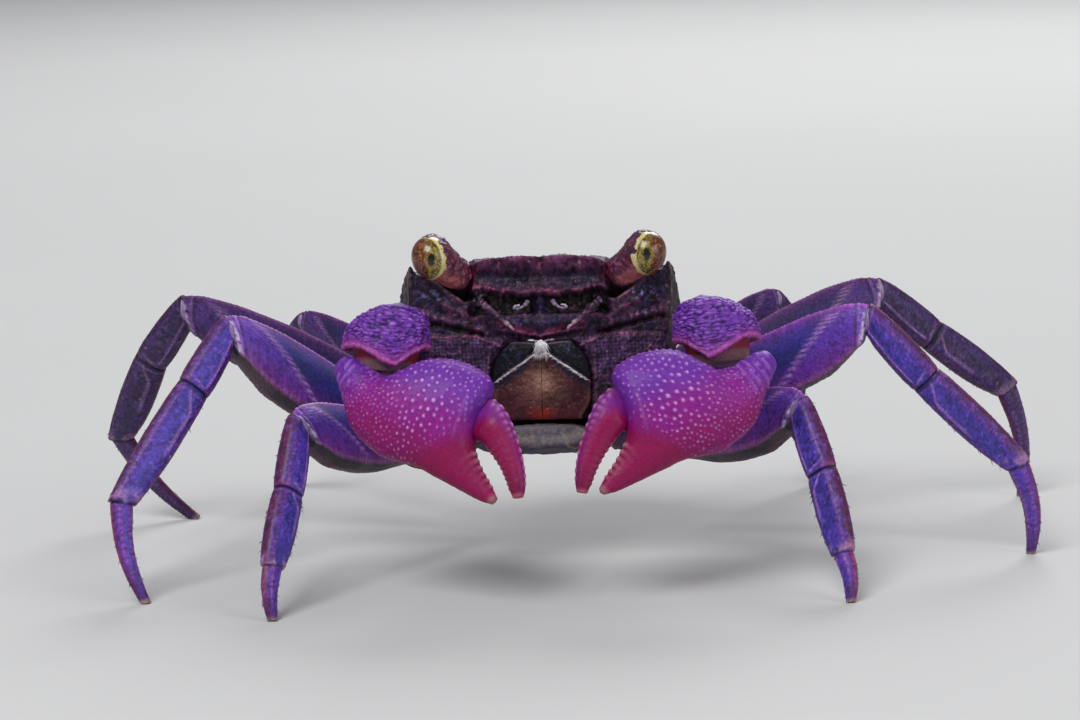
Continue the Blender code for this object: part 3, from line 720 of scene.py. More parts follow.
def hip(label, look, girth, across, joints):
    """Coxa and ischium: rings swept from the breastplate to the merus, with a groove between."""
    near, far = nearer_first(poles(f"{label}_hip"), BODY_ORIGIN + BODY_BACK * 7 - BODY_UP * 8)
    direction = unit(joints[1] - joints[0])
    last = far + direction * 0.04
    knee = last - direction * HIP_BEND
    root = near - unit(knee - near) * HIP_INWARD
    rows, columns = GRIDS["hip"]
    t = np.linspace(0, 1, rows)[:, None]
    centres = root * (1 - t) ** 2 + knee * 2 * t * (1 - t) + last * t ** 2
    along = unit((knee - root) * (1 - t) + (last - knee) * t)
    sideways = unit(across - along * (along @ across)[:, None])
    upward = np.cross(along, sideways)
    upward *= np.sign(upward[:, 2:3])
    x, y, _ = outline(ROUND, columns)
    size = girth * (0.78 + 0.1 * np.sin(math.pi * t)) * (HIP_TAPER + (1 - HIP_TAPER) * t)
    size = size * (1 - 0.12 * bell(t - HIP_GROOVE, 0.03) + 0.03 * bell(t - 0.44, 0.05))
    points = swept(centres, sideways, upward, 0.74 * size * x, size * y)
    cloud = rough_noise(points, 0.7, len(label))
    colour = paint(points, "41203f", ("33306c", above(cloud, 0.4, 0.3) * 0.7),
                   ("1c1020", bell(t - HIP_GROOVE, 0.025) * 0.8),
                   ("9a6a94", bell(t - 0.46, 0.02) * 0.6))
    tube(f"{label}_hip", raised(points, 0.05 * (cloud - 0.5)), colour, look)


LEGS = {(side, number): leg(side, number) for side in ("left", "right") for number in (1, 2, 3, 4)}


def joint_skin():
    """Pale soft skin that shows inside the leg joints, all in one piece."""
    places, faces, tints = [], [], []
    rows, columns = GRIDS["joint_skin"]
    turn = circle(columns)
    level = np.linspace(-1, 1, rows)[:, None]
    wide = np.sqrt(1 - level ** 2)
    fold = 0.8 + 0.2 * np.cos(level * 14.0) + 0 * turn
    for (_, number), (joints, across) in LEGS.items():
        girth = LEG_GIRTHS[number - 1]
        for k, high, thick in ((1, 0.74, 0.62), (2, 0.60, 0.42), (3, 0.50, 0.38)):
            along = unit(unit(joints[k] - joints[k - 1]) + unit(joints[k + 1] - joints[k]))
            ring = swept(joints[k] + along * (0.3 * level), across, unit(np.cross(across, along)),
                         thick * girth * wide * np.cos(turn), high * girth * wide * np.sin(turn))
            faces.append(grid_faces(rows, columns) + columns * rows * len(places))
            places.append(ring.reshape(-1, 3))
            tints.append((tone("9c84a8") * fold[..., None]).reshape(-1, 3))
    make("joint_skin", np.concatenate(places), np.concatenate(faces), np.concatenate(tints),
         "membrane")


joint_skin()

# ---------------------------------------------------------------- claws

# Palm: place along, lowest and highest edge, half thickness. It begins with a lobe under the wrist.
PALM = (
    (-1.62, -0.2, 0.4, 0.3), (-1.5, -0.4, 0.62, 0.6), (-0.95, -0.7, 0.82, 0.95),
    (-0.35, -1.05, 0.88, 1.1), (0.4, -1.55, 0.98, 1.25), (1.14, -2.0, 1.3, 1.45),
    (1.65, -2.15, 2.2, 1.6), (2.25, -2.2, 3.3, 1.72), (3.3, -2.2, 4.06, 1.8),
    (4.4, -1.8, 4.44, 1.76), (5.3, -1.4, 4.54, 1.56), (5.72, -1.28, 4.36, 1.46),
    (6.02, -1.22, 3.7, 1.36), (6.3, -1.18, 2.75, 1.22), (6.65, -1.1, 2.0, 1.1),
    (7.0, -1.02, 1.52, 0.97), (7.4, -0.95, 1.16, 0.86), (8.2, -0.78, 0.75, 0.62),
    (9.2, -0.55, 0.4, 0.42), (9.85, -0.3, 0.15, 0.27),
)
# Movable finger: share, place along, centre up, half width, half thickness.
FINGER = (
    (-0.12, 5.9, 2.5, 1.15, 0.72), (0, 6.42, 2.66, 1.2, 0.86), (0.13, 6.95, 2.74, 1.07, 0.88),
    (0.2, 7.25, 2.72, 0.99, 0.86), (0.35, 8.0, 2.5, 0.83, 0.74), (0.54, 8.95, 2.12, 0.66, 0.56),
    (0.72, 9.75, 1.66, 0.53, 0.44), (0.88, 10.35, 1.2, 0.42, 0.34), (1.0, 10.72, 0.86, 0.27, 0.25),
)
FINGER_CLOSING = {"left": 0.0, "right": 0.09}
FINGER_LENGTH = 5.4
# Wrist dome: place down its axis, half width, half depth.
CLAW_CARPUS = (
    (-1.52, 0.62, 0.62), (-1.15, 1.35, 1.2), (-0.5, 1.95, 1.65), (0.25, 2.22, 1.85),
    (0.85, 2.28, 1.85), (1.1, 1.7, 1.4),
)
# Upper arm: share, half height, half width.
UPPER_ARM = (
    (0.0, 0.8, 0.75), (0.2, 1.05, 0.85), (0.5, 1.25, 0.9), (0.8, 1.25, 0.9), (1.0, 0.85, 0.7),
)
OUTER_TILT = math.radians(10)
TIP_DROP = 0.18  # how far a palm's lower pole lies under its axis
WRIST_INSET = (0.45, 0.1)  # from a palm's upper pole to its wrist: along and down
DOME_RISE = 1.68  # from the top of a wrist dome to its middle
GRANULE_AREA = ((-0.9, -2.2), (6.6, 4.4))  # lowest and highest place along and up
OUTER_GRANULES, INNER_GRANULES = 5200, 2600  # places tried on the two faces of a palm
DEEP_PINK, TEETH = "88064a", "d8a8b0"  # tones that palm and finger share


def claw_frame(side):
    """Wrist and unit vectors (along, upward, outer) of a palm, measured from its poles."""
    wrist_end, tip_end = nearer_first(poles(f"claw_{side}_palm"), poles(f"claw_{side}_carpus")[0])
    along = unit(tip_end - wrist_end)
    facing = np.array([0.0, -math.cos(OUTER_TILT), math.sin(OUTER_TILT)])
    for _ in range(4):
        outer = unit(facing - along * (facing @ along))
        upward = np.cross(outer, along)
        upward *= np.sign(upward[2])
        along = unit(tip_end - wrist_end + upward * TIP_DROP)
    return wrist_end + along * WRIST_INSET[0] - upward * WRIST_INSET[1], along, upward, outer


def granules(draw, place, count):
    """Heights of round granules spread over the palm's face, large in its middle."""
    found = []
    for _ in range(count):
        at = draw.uniform(*GRANULE_AREA)
        middle = math.exp(-(((at[0] - 4.0) / 1.7) ** 2) - ((at[1] - 1.7) / 1.8) ** 2)
        bare = float(ease((at[0] - 4.8 - 0.45 * max(0.0, at[1])) / 1.1))
        if draw.random() < bare:
            continue
        room = 0.19 + 0.19 * middle
        if all((at[0] - p[0]) ** 2 + (at[1] - p[1]) ** 2 > room ** 2 for p in found):
            size = (0.088 + 0.06 * middle) * draw.uniform(0.75, 1.2)
            tall = (0.04 + 0.085 * middle) * draw.uniform(0.5, 1.2) * (1 - 0.6 * bare)
            found.append((at[0], at[1], size, tall * min(1.0, (at[0] + 1.2) / 1.6)))
    total = np.zeros(place.shape[:2])
    for *at, size, tall in found:
        near = np.nonzero(np.all(np.abs(place - at) < size, axis=-1))
        away = np.hypot(*(place[near] - at).T) / size
        total[near] = np.maximum(total[near], tall * ease(1.0 - away))
    return total


def palm_look(points, ahead, up, x, y, draw):
    """Relief and colours of a palm: granules, striae near the wrist, crest, teeth and suture."""
    place = np.stack([ahead, up], axis=-1)
    grain = (granules(draw, place, OUTER_GRANULES) * ease(x / 0.12)
             + granules(draw, place, INNER_GRANULES) * ease(-x / 0.12) * 0.5)
    # short upright striae near the wrist, a beaded crest, and low teeth on the biting edge
    bend = 5.0 * rough_noise(points, 0.7, 3)
    broken = above(rough_noise(points, 0.3, 5), 0.35, 0.2)
    stria = (0.5 + 0.5 * np.sin(up * 1.0 + ahead * 15.0 + bend)) * broken
    near_wrist = ease((1.5 - ahead + 0.35 * up) / 1.6) * above(ahead, -1.5, 0.5)
    crest = bell(x - 0.05, 0.10) * (y > 0) * below(ahead, 5.7, 0.4) * above(ahead, 1.7, 0.6)
    bead = np.sin(math.pi * ahead / 0.3) ** 2
    biting = above(ahead, 7.1, 0.4) * (y > 0) * bell(x, 0.5) * below(ahead, 9.7, 0.5)
    teeth = np.sin(math.pi * (ahead - 6.9) / 0.36) ** 2
    suture = bell(ahead - 5.55 - 0.38 * (3.0 - up), 0.09) * above(up, 0.8, 0.6)
    suture = suture * below(up, 3.4, 0.5) * ease(x / 0.3)
    cloud = rough_noise(points, 1.2, 4)
    lift = (grain + 0.04 * stria * near_wrist + crest * (0.02 + 0.055 * bead)
            + 0.07 * biting * teeth + 0.05 * (cloud - 0.5)
            + 0.02 * (noise(points, 0.14, 7) - 0.5) - 0.03 * suture)
    shine = ease(grain / 0.045) * (0.22 + 0.6 * ease(grain / 0.10))
    level = (up + 2.1) / 5.8 - 0.05 * (ahead - 3.0) + 0.22 * (cloud - 0.5)
    tip = ease((ahead - 5.3 - 0.55 * (up - 0.5)) / 1.5)
    colour = paint(
        points, "861482", ("6a2a9c", above(level, 0.46, 0.34)),
        ("860a62", below(level, 0.42, 0.28)), (DEEP_PINK, tip),
        ("6432a8", below(ahead, 1.2, 1.8) * 0.7 * above(up, -1.2, 1.0)),
        ("a868d0", near_wrist * stria * 0.5), ("3c1468", near_wrist * (1 - stria) * 0.3),
        ("e8a8f0", shine), ("b050a4", crest * (0.2 + 0.5 * bead)),
        (TEETH, biting * teeth * 0.7), ("b870a8", suture * 0.22),
        ("a87c78", above(ahead, 9.5, 0.35) * 0.6), ("5c1c58", below(x, -0.1, 0.5) * 0.5))
    return lift, colour


def palm(side):
    """Palm with the fixed finger: granulate, striate near the wrist, smooth at the fingers."""
    wrist, along, upward, outer = claw_frame(side)
    rows, columns = GRIDS["palm"]
    reach = np.linspace(PALM[0][0], PALM[-1][0], rows)
    low, high, thick = smooth_rows(PALM, reach).T[..., None]
    x, y = superellipse(columns, 0.92)
    up = (high + low) / 2 + (high - low) / 2 * y
    ahead = reach[:, None] + 0 * up
    points = moved(wrist, (along, ahead), (upward, up), (outer, thick * x))
    draw = np.random.default_rng(5 if side == "left" else 6)
    lift, colour = palm_look(points, ahead, up, x, y, draw)
    points = raised(points, lift)
    ends = (points[0].mean(axis=0) - along * 0.04, points[-1].mean(axis=0) + along * 0.12)
    tube(f"claw_{side}_palm", points, colour, "claw", ends)


def finger_look(points, t, x, y):
    """Relief and colours of a movable finger: its bead rows and its teeth."""
    length = t * FINGER_LENGTH
    upper = y > 0
    bead = np.sin(math.pi * length / 0.44) ** 2 * below(t, 0.93, 0.1) * ease(t / 0.05)
    row = bell(x - 0.15, 0.16) * upper
    side_row = bell(x - 0.60, 0.13) * upper * below(t, 0.5, 0.2)
    side_bead = np.sin(math.pi * length / 0.34 + 1.0) ** 2 * ease(t / 0.05)
    biting = bell(x, 0.5) * ~upper * above(t, 0.3, 0.15) * below(t, 0.95, 0.1)
    teeth = np.sin(math.pi * length / 0.36 + 0.6) ** 2
    cloud = rough_noise(points, 0.9, 21)
    lift = (row * (0.01 + 0.075 * bead) + side_row * 0.04 * side_bead + biting * 0.06 * teeth
            + 0.05 * (cloud - 0.5) + 0.016 * (noise(points, 0.13, 9) - 0.5))
    colour = paint(
        points, DEEP_PINK, ("702088", ease((0.42 * (0.55 + 0.7 * y) - t) / 0.35)),
        ("7c2070", above(y, 0.2, 0.6) * 0.5), ("5c0830", above(t, 0.6, 0.35) * 0.5),
        ("d890d8", row * bead * 0.7), ("c880c8", side_row * side_bead * 0.5),
        (TEETH, biting * teeth * 0.6), ("b06070", above(t, 0.94, 0.05) * 0.6),
        ("4c1450", below(t, -0.03, 0.04) * 0.6))
    return lift, colour


def finger(side):
    """Movable finger: a bead row along its outer edge, low teeth along its biting edge."""
    wrist, along, upward, outer = claw_frame(side)
    rows, columns = GRIDS["finger"]
    t = np.linspace(FINGER[0][0], 1, rows)
    ahead, rise, high, thick = smooth_rows(FINGER, t).T[..., None]
    rise = rise - FINGER_CLOSING[side] * np.maximum(0.0, ahead - FINGER[1][1])
    centres = wrist + along * ahead + upward * rise
    share = above(t, -0.12, 0.28)[:, None]
    centres = centres - outer * (0.5 * (1 - above(t, -0.12, 0.36)))[:, None]
    ahead = unit(unit(np.gradient(centres, axis=0)) * share
                 + (along * 0.92 + upward * 0.38) * (1 - share))
    across = unit(np.cross(outer, ahead))
    across = across * np.sign(across @ upward)[:, None]
    x, y = superellipse(columns, 0.95)
    points = swept(centres, outer, across, thick * x, high * y)
    lift, colour = finger_look(points, t[:, None] + 0 * x, x, y)
    tube(f"claw_{side}_finger", raised(points, lift), colour, "finger")


def wrist_look(points, down, tucked, x, y, axes):
    """Relief and colours of a wrist dome: wrinkles, its beaded rim, and the hollow under it,
    painted dark red as shadow with tan skin deeper in.
    """
    outside = (tucked == 0) + 0 * x
    # sinuous wrinkles, longer sideways than down
    stretch = np.stack([points @ axis * size for axis, size in zip(axes, (0.55, 1.2, 0.8))],
                       axis=-1)
    bend = np.stack([noise(points, 0.45, seed) for seed in (31, 32, 33)], axis=-1)
    ridge = np.abs(noise(stretch + 0.16 * bend, 0.19, 12) - 0.5) * 2
    near, second, number = cells(stretch + 0.14 * bend, 0.24, 14)
    scale = 0.5 * ease(ridge / 0.35) + 0.5 * above(second, near, 0.4)
    open_face = below(down, 0.80, 0.2) * outside
    rim = bell(down - 0.9, 0.15) * outside
    bead = 0.5 + 0.5 * np.sin(np.arctan2(y, x) * 46.0)
    lift = (0.12 * (scale - 0.45) * (0.6 + 0.6 * number) * open_face * above(down, -1.6, 0.4)
            + rim * (0.02 + 0.06 * bead + 0.12 * (noise(points, 0.22, 15) - 0.4))
            + 0.03 * (rough_noise(points, 0.8, 5) - 0.5))
    hollow = 1 - outside
    colour = paint(
        points, "2a1256", ("6a2c9c", above(scale, 0.2, 0.4)),
        # painted highlight: pale lilac on the tops of the wrinkles
        ("ac74d4", above(scale, 0.7, 0.3) * (0.2 + 0.5 * number)),
        ("8c3090", above(down, 0.1, 0.7) * 0.75 * outside * (0.4 + 0.6 * scale)),
        # painted shadow: dark red over the tucked part under the rim; the tan further in is the
        # joint's skin
        ("b05098", rim * 0.85), ("80082c", hollow),
        ("80686c", hollow * above(tucked, 0.5, 0.15) * 0.75), ("30205c", below(y, -0.2, 0.5) * 0.4))
    return lift, colour


def wrist(side):
    """Wrist dome: wrinkled, with a pink rim that comes to a point over a hollow beneath it."""
    name = f"claw_{side}_carpus"
    inward = 1.0 if side == "left" else -1.0
    top_end, low_end = sorted(poles(name), key=lambda p: -p[2])
    lean = unit(low_end - top_end)
    centre = top_end + lean * DOME_RISE
    wide = unit(X_AXIS - lean * lean[0]) * inward
    deep = np.cross(lean, wide)
    deep *= -np.sign(deep[1])
    outer_rows, inner_rows = 120, 30
    down = np.concatenate([np.linspace(-1.6, 0.98, outer_rows),
                           np.linspace(0.98, 1.0, inner_rows)])[:, None]
    tucked = np.concatenate([np.zeros(outer_rows), np.linspace(0.03, 1, inner_rows)])[:, None]
    width, depth = smooth_rows(CLAW_CARPUS, np.clip(down[:, 0], -1.52, 0.95)).T[..., None]
    cap = np.where(tucked > 0, 1.0, np.clip((down + 1.6) / 0.25, 0.05, 1) ** 0.5)
    shrink = (1 - 0.13 * ease(tucked / 0.25) - 0.2 * tucked) * cap
    x, y = superellipse(176, 0.94)
    low = above(down, -1.0, 2.0)
    point = np.maximum(0.0, y) ** 2 * np.maximum(0, 1 - np.abs(x - 0.3))
    drop = low * (1.2 * point - 0.22 * x - 0.1) * (1 - ease(tucked / 0.35))
    drop += 1.15 * above(tucked, 0.15, 0.85)
    shift = 0.5 * ease(-down / 1.4) + 0 * x
    points = moved(centre, (lean, down + drop), (wide, width * shrink * x + shift),
                   (deep, depth * shrink * y))
    lift, colour = wrist_look(points, down, tucked, x, y, (wide, lean, deep))
    points = raised(points, lift)
    ends = (points[0].mean(axis=0) - lean * 0.05, points[-1].mean(axis=0))
    tube(name, points, colour, "claw_wrist", ends)


def upper_arm(side):
    """Upper arm behind the wrist dome: three-edged, with beaded edges."""
    name = f"claw_{side}_merus"
    root, end = nearer_first(poles(name), BODY_ORIGIN + BODY_BACK * 4 - BODY_UP * 8)
    along = unit(end - root)
    root, end = root - along * 0.05, end + along * 0.05
    across = unit(np.array([0.0, -1.0, 0.0]) + along * along[1])
    upward = np.cross(along, across)
    upward *= np.sign(upward[2])
    length = np.linalg.norm(end - root)
    rows, columns = GRIDS["upper_arm"]
    t = np.linspace(0, 1, rows)[:, None]
    high, wide = smooth_rows(UPPER_ARM, t[:, 0]).T[..., None]
    x, y, g = outline(BOX, columns)
    points = swept(root + along * (t * length), across, upward, wide * x, high * y)
    top = from_top(g) + 0 * t
    edge = np.minimum(np.abs(top - 1.4), np.abs(top - 4.6))
    bead = beads(t + 0 * top, 0.28, 3, length)
    scale = scales(points, 0.28, 9)
    colour = paint(points, "3c2474", ("5c2058", above(top, 3.0, 2.0) * 0.7),
                   ("b060a4", bell(edge, 0.2) * bead * 0.6))
    tube(name, raised(points, 0.06 * bell(edge, 0.25) * bead + 0.02 * scale),
         colour * (0.7 + 0.45 * scale)[..., None], "claw_wrist")


for claw_side in ("left", "right"):
    palm(claw_side)
    finger(claw_side)
    wrist(claw_side)
    upper_arm(claw_side)

# ---------------------------------------------------------------- carapace and face

HALF_WIDTH_EYES = 6.85
HALF_WIDTH_MAX = 7.5
BODY_LENGTH = 12.8
REAR_HALF_WIDTH = 4.7
TAIL_START = 7.5  # from here the shield narrows to the rear
REAR_MIDDLE = -3.4
FACE_SLANT = 0.33
LOBE_GROOVE = 2.15  # groove between the inner and outer lobe behind the front
NET = 0.205  # mesh of the fine net on the cheeks


def half_width(back):
    """Half width of the carapace this far behind the front."""
    swell = np.sin(math.pi * np.minimum(1.0, back / 11.0))
    width = HALF_WIDTH_EYES + (HALF_WIDTH_MAX - HALF_WIDTH_EYES) * swell
    tail = above(back, TAIL_START, BODY_LENGTH - TAIL_START)
    return width * (1 - tail) + REAR_HALF_WIDTH * tail


def carapace_half(back):
    """Half a cross-section from the top middle round to the bottom middle: (x, up) pairs."""
    def eased(start, width):
        return float(above(back, start, width))

    width = float(half_width(back))
    top = 0.55 * eased(0, 3.5) - 1.5 * eased(8.5, 4.6)
    drop = 0.4 + 1.5 * eased(0, 5)
    near_front = 1 - eased(0, 1.2)
    found = []
    for share in (0.0, 0.16, 0.32, 0.47, 0.56, 0.68, 0.82, 0.94):
        brow = 0.45 * near_front * float(above(share, 0.38, 0.2))
        found.append((share * width, top - drop * share ** 2.4 - brow))
    edge = top - drop
    low = -8.1 + 1.6 * eased(3.0, 3.0) + 0.7 * eased(9.0, 3.5)
    for inset, share in ((0.0, 0.0), (-0.12, 0.22), (0.05, 0.45), (0.65, 0.68), (1.6, 0.87),
                         (2.9, 1.0)):
        found.append((width - inset, edge + share * (low - edge)))
    return np.array(found + [(0.45 * (width - 2.9), low), (0.0, low)])


def on_section(back, place):
    """(x, up) of the section at places 0 (top) to 15 (bottom) of its right half."""
    half = carapace_half(back)
    return spline(np.concatenate([half, half[-2:0:-1] * [-1, 1]]), place)


def from_line(side, up, a, b):
    """Distance from points of the face to a line piece, and the share along it."""
    dx, dy = b[0] - a[0], b[1] - a[1]
    share = np.clip(((side - a[0]) * dx + (up - a[1]) * dy) / (dx * dx + dy * dy), 0, 1)
    return np.hypot(side - a[0] - share * dx, up - a[1] - share * dy), share


def face_look(x, up):
    """How far the face lies behind its slanting plane, and its colours, from zones of 0 to 1."""
    side = np.abs(x)
    place = np.stack([x, up, 0 * x], axis=-1)

    def stroke(width, *corners):
        """A line over the face through these corners, of this width."""
        pairs = zip(corners, corners[1:])
        return bell(np.minimum.reduce([from_line(side, up, a, b)[0] for a, b in pairs]), width)

    edge = -1.94 + 0.32 * np.clip(side / 3.2, 0, 1) ** 2 + 0.06 * np.sin(side * 5.0)
    middle = below(side, 3.85, 0.4)
    beneath = below(up, edge, 0.12)
    split = np.minimum(side, np.abs(side - LOBE_GROOVE))
    lobe = band(up, -0.18, 0.6) * (1 - 0.9 * bell(split, 0.2)) * middle
    split = bell(split, 0.10) * band(up, -0.3, 0.5) * middle
    hollow = band(up, -0.98, 0.42) * middle
    lip = band(up, edge + 0.12, 0.2) * middle
    fossa = beneath * middle * above(up, -2.95, 0.25)
    wall = bell(x, 0.3)
    surround = band(up, -3.4, 0.75) * below(side, 2.9, 0.5)
    point = -3.72 - 0.34 * np.clip(1 - side / 1.9, 0, 1)
    point = band(up, point, 0.13) * below(side, 2.5, 0.4)
    floor_level = np.maximum(-0.42 - (6.72 - side) * 0.66, -2.2)
    socket = (above(side, 3.45, 0.5) * below(side, 6.72, 0.30)
              * ease((up - floor_level) / 0.45 + 0.15))
    rim = bell(up - floor_level + 0.05, 0.09) * above(side, 4.0, 0.5) * below(side, 6.9, 0.2)
    rim = rim * (1 - socket * 0.7)
    away, share = from_line(side, up, (6.45, -2.75), (3.3, -3.62))
    ridge = bell(away, 0.14) * (0.6 + 0.4 * np.sin(share * 52.0))
    furrow = stroke(0.13, (6.5, -3.12), (3.15, -3.88))
    fold = stroke(0.12, (5.2, -2.35), (3.6, -3.05))
    slot = stroke(0.16, (3.6, -2.9), (2.9, -2.1))
    brim = stroke(0.09, (6.3, -4.05), (3.4, -4.0), (2.15, -4.55))
    jamb = stroke(0.13, (2.72, -4.7), (2.95, -8.2))
    inner = 2.7 - 1.1 * np.clip(1 + (up + 4.25) / 2.0, 0, 1) ** 3
    cheek = above(side, inner, 0.3) * below(up, -4.02, 0.25)
    mouth = below(side, inner, 0.3) * below(up, -4.25, 0.25)
    bend = 0.04 * np.sin(up * 2.6)
    net = ((0.5 + 0.5 * np.cos((x + bend) * 2 * math.pi / NET))
           * (0.5 + 0.5 * np.cos((up + bend) * 2 * math.pi / NET)))
    cloud = rough_noise(place, 0.7, 71)
    speck = rough_noise(place, 0.16, 75)
    near, _, number = cells(place, 0.25, 77)
    grain = ease(1 - near / 0.55) * (0.3 + 0.7 * number)
    flank = above(side, 6.5, 0.6)
    granular = np.clip(lobe + lip + ridge + brim + 0.6, 0, 1.2)
    depth = (2.0 * socket - 0.32 * lobe + 0.24 * hollow * (1 - beneath) - 0.17 * lip
             + (0.75 - 0.45 * wall) * fossa + 0.18 * beneath * middle * (1 - fossa)
             - 0.30 * surround - 0.16 * point - 0.18 * ridge + 0.26 * furrow - 0.10 * fold
             + 0.35 * slot - 0.13 * brim - 0.22 * cheek * bell(side - 4.3, 2.0) - 0.12 * jamb
             + 0.35 * mouth - 0.03 * net * cheek * below(side, 6.3, 0.4)
             + 1.3 * above(side, 6.25, 1.9) * below(up, -0.9, 0.8)
             + 0.34 * (rough_noise(place, 0.55, 61) - 0.5)
             + 0.10 * (rough_noise(place, 0.2, 63) - 0.5)
             - 0.2 * grain * granular * (1 - mouth))
    light = above(speck, 0.56, 0.12)
    colour = paint(
        x, "40233f", ("1f1838", above(cloud, 0.42, 0.25) * 0.8), ("6a2f5a", lobe * 0.8),
        ("a85078", split * (0.35 + 0.4 * light)), ("1b1430", hollow * 0.65),
        ("a85078", lip * (0.3 + 0.6 * light)),
        ("a82c56", bell(side - 3.7, 0.3) * band(up, -0.9, 0.8) * 0.75 * (1 - beneath)),
        # painted shadow: near-black over the antennular fossae under the overhanging front
        ("12140e", fossa * 0.92), ("4c3a2c", fossa * light * 0.5), ("2a1c46", wall * fossa),
        ("241840", surround * 0.85), ("5a2a5c", surround * light * 0.7), ("74305e", point * 0.85),
        # painted shade: very dark maroon over the deep eye socket
        ("8c2448", stroke(0.10, (0.35, -3.85), (2.3, -3.35)) * 0.6), ("29101f", socket),
        ("c07478", rim * (0.4 + 0.5 * light)),
        ("1c1636", above(side, 4.5, 0.8) * band(up, -1.5, 1.25) * (1 - socket) * 0.75),
        # painted highlight: bluish-white specks on the dark face under the orbit
        ("8c98d8", bell(side - 5.5, 0.7) * band(up, -1.95, 0.45) * light * 0.7),
        ("a890b4", bell(side - 3.25, 0.4) * bell(up + 1.95, 0.28) * light * 0.9),
        # painted shade: the near-black furrow under the subocular ridge
        ("8c5480", ridge * (0.4 + 0.5 * light)), ("7a4068", fold * 0.6), ("0d090b", furrow * 0.9),
        ("3a2148", cheek * 0.85), ("77588c", net * cheek * 0.6 * above(up, -7.4, 2.0)),
        # darker maroon towards the bottom of the cheek: partly its own colour, partly painted
        # shadow
        ("3c1424", cheek * below(up, -5.6, 1.8) * 0.75), ("b06890", brim * (0.35 + 0.5 * light)),
        ("6c4a60", jamb * 0.5), ("2a1a1c", mouth * 0.9), ("3c2c34", flank * 0.8),
        ("84705c", flank * light * 0.6))
    mottle = (1 - mouth) * (1 - socket)
    lump = rough_noise(place, 0.34, 79)
    colour *= ((1 - 0.6 * below(speck, 0.46, 0.1) * mottle)
               * (1 + mottle * (1.7 * lump - 0.85)))[..., None]
    colour += (tone("c07098") - colour) * (0.8 * grain * light * mottle)[..., None]
    return depth, colour


def shell_look(x, back, up, top_side):
    """Relief and colours of the shield: regions, grooves, slanting lines on the flanks, granules,
    and the pale saddle that the species has at the rear."""
    side = np.abs(x)
    place = np.stack([x, back, 0.6 * up], axis=-1)
    cloud = rough_noise(place, 1.5, 91)
    speck = rough_noise(place, 0.3, 95)
    near, _, number = cells(place, 0.26, 83)
    grain = ease(1 - near / 0.5) * (0.4 + 0.6 * number)
    groove = bell(side - 1.55 - 0.25 * np.cos((back - 7.4) * 1.1), 0.22) * band(back, 7.2, 2.6)
    groove = np.maximum(groove, bell(back - 5.4 + 0.3 * side, 0.22) * band(side, 2.4, 1.6))
    groove = np.maximum(groove, 0.8 * bell(x, 0.14) * band(back, 1.2, 1.8))
    lines = 0.0
    for k in range(5):
        slant = back - 4.4 - 1.35 * k - 0.55 * (7.4 - side)
        lines = lines + bell(slant, 0.09) * above(side, 4.6, 0.5)
    flank = 1 - top_side
    rough = 0.3 + 0.7 * np.clip(below(back, 6.5, 4.0) + flank, 0, 1)
    lift = (0.16 * (cloud - 0.5) + 0.10 * grain * rough + top_side * (
        -0.17 * groove + 0.08 * lines + 0.12 * bell(np.hypot(side - 1.1, (back - 1.5) * 0.9), 0.9)
        + 0.09 * bell(np.hypot(side - 3.0, (back - 2.0) * 0.9), 0.8)))
    wash = np.hypot(x / 4.4, (back - 10.2) / 2.7) + 0.9 * (cloud - 0.5) + 0.7 * (speck - 0.5)
    colour = paint(
        x, "3a1c3e", ("562858", above(cloud, 0.45, 0.2) * 0.8),
        ("1c1428", above(speck, 0.52, 0.12) * 0.7), ("7c4468", grain * 0.35 * rough),
        ("b49a80", below(wash, 1.0, 0.55) * top_side * 0.85), ("281428", groove * 0.6 * top_side),
        ("382a34", flank * 0.85), ("7c6858", flank * grain * 0.55),
        ("1e141e", flank * above(speck, 0.5, 0.1) * 0.6))
    return lift, colour


def section(back, aside, down):
    """The top, bottom and right edge of a section, at places from -1 to 1 and 0 to 1."""
    mirror = np.stack([np.sign(aside), np.ones(len(aside))], axis=-1)
    return (on_section(back, 8 * np.abs(aside)) * mirror,
            on_section(back, 15 - 3 * np.abs(aside)) * mirror,
            on_section(back, 8 + 4 * down))


def face(across, down):
    """The face, spread between the edges of the foremost section."""
    top, bottom, right = section(0.0, across, down)
    left = right * [-1, 1]
    s = (across[None, :, None] + 1) / 2
    d = down[:, None, None]
    patch = ((1 - d) * top[None] + d * bottom[None] + (1 - s) * left[:, None] + s * right[:, None]
             - (1 - d) * ((1 - s) * top[0] + s * top[-1])
             - d * ((1 - s) * bottom[0] + s * bottom[-1]))
    x, up = patch[..., 0], patch[..., 1]
    depth, tint = face_look(x, up)
    points = body_points(x, FACE_SLANT * -np.minimum(0.0, up) + depth, up)
    faces = grid_faces(len(down), len(across), False)
    if np.cross(points[0, 1] - points[0, 0], points[1, 0] - points[0, 0])[1] > 0:
        faces = faces[:, ::-1]
    make("carapace_face", points.reshape(-1, 3), faces, tint.reshape(-1, 3), "shell",
         ("carapace",))


